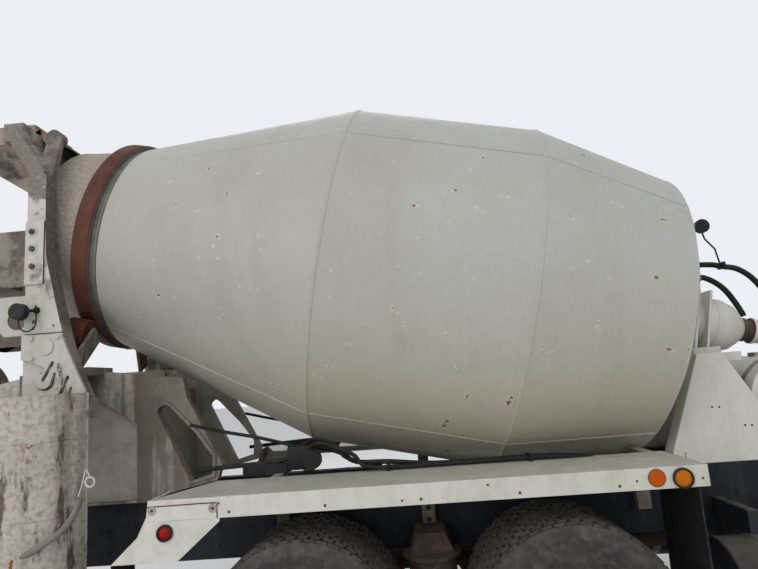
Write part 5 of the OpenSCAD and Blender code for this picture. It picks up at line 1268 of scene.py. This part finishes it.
def lampWires():
    shape = bmesh.new()
    for side in (-1, 1):
        y = side * wireLook["lampY"]
        wire = [(x, y * share, z) for x, share, z in wireLook["steps"]]
        x, z = wireLook["end"]
        addTube(shape, [*wire, (x, side * wireLook["postY"], z)], wireLook["radius"], 6, 5)
        x, z = wireLook["lamp"]
        spinShape(shape, wireLook["bezel"], Vector((x, y, z)), sideWay * -side, upWay, 32)
    makePiece(outward(shape), "lampWires", "darkPlastic")


chuteLook = {"ribs": (0.8, 1.2, 1.6), "ribHeight": 0.005, "centre": (-3.401, -0.91), "radius": 0.275,
             "steps": 24}


def chuteRibs():
    shape = bmesh.new()
    (x, y), radius, steps = chuteLook["centre"], chuteLook["radius"], chuteLook["steps"]
    turns = [math.pi * i / steps for i in range(steps + 1)]
    for z in chuteLook["ribs"]:
        arc = [(x + radius * math.cos(turn), y - radius * math.sin(turn), z) for turn in turns]
        addTube(shape, arc, chuteLook["ribHeight"], 6)
    makePiece(mirrored(shape), "chuteRibs", "chutePaint")


hopperRim()
lampWires()
chuteRibs()
print("rear body trim made")


floorLook = {"colour": (234, 234, 232), "rough": 0.9, "half": 60}


def plainStage():
    material, tree, shader, _ = newMaterial("floor")
    fillInputs(tree, shader, {"Base Color": paint8(*floorLook["colour"]), "Roughness": floorLook["rough"]})
    shape = bmesh.new()
    bmesh.ops.create_grid(shape, x_segments=1, y_segments=1, size=floorLook["half"])
    floor = linkObject("floor", meshOf(shape, "floor"))
    floor.data.materials.append(material)


lamps = {  # place, target, size, power
    "key": ((-4, -8, 9), (-1, 0, 2), 8, 250),
    "low": ((-9, -12, 4.5), (-2, 0, 2), 8, 380),
    "fill": ((8, -7, 6), (1, 0, 1.5), 8, 160),
    "back": ((-2, 9, 8), (0, 0, 2), 8, 180),
}


def addLamp(name, place, target, size, power):
    light = bpy.data.lights.new(name, "AREA")
    light.shape = "DISK"
    light.size = size
    light.energy = power
    lamp = linkObject(name, light)
    lamp.location = place
    lamp.rotation_mode = "QUATERNION"
    lamp.rotation_quaternion = (Vector(target) - Vector(place)).to_track_quat("-Z", "Y")


skyLook = {"colour": (0.93, 0.96, 1.0, 1), "lights": 0.62, "seen": 0.9}


def softSky():
    # the sky is brighter where it is seen, mirrored or looked through than as a light
    world = bpy.data.worlds.new("world")
    bpy.context.scene.world = world
    world.use_nodes = True
    tree = world.node_tree
    back, path = tree.nodes["Background"], tree.nodes.new("ShaderNodeLightPath").outputs
    seen = combine(tree, "MAXIMUM", path["Is Camera Ray"], path["Is Glossy Ray"])
    seen = combine(tree, "MAXIMUM", seen, path["Is Transmission Ray"])
    strength = rampTo(tree, seen, skyLook["lights"], skyLook["seen"])
    fillInputs(tree, back, {"Color": skyLook["colour"], "Strength": strength})


cameraLook = {"place": (-1.2331, -4.1869, 1.7934), "yaw": 0.0444, "pitch": 0.167, "roll": -0.0747,
              "lens": 26.973, "sensor": 36, "reach": 300}


def photoCamera():
    yaw, pitch, roll = cameraLook["yaw"], cameraLook["pitch"], cameraLook["roll"]
    look = Vector((-math.sin(yaw) * math.cos(pitch), math.cos(yaw) * math.cos(pitch), math.sin(pitch)))
    right = Vector((math.cos(yaw), math.sin(yaw), 0))
    up = right.cross(look)
    across = right * math.cos(roll) + up * math.sin(roll)
    above = -right * math.sin(roll) + up * math.cos(roll)
    lens = bpy.data.cameras.new("camera")
    lens.sensor_width = cameraLook["sensor"]
    lens.lens = cameraLook["lens"]
    lens.clip_end = cameraLook["reach"]
    camera = linkObject("camera", lens)
    place = Matrix((across, above, -look)).transposed().to_4x4()
    place.translation = cameraLook["place"]
    camera.matrix_world = place
    bpy.context.scene.camera = camera


plainStage()
softSky()
for name, look in lamps.items():
    addLamp(name, *look)
photoCamera()
bpy.context.scene.view_settings.view_transform = "Standard"
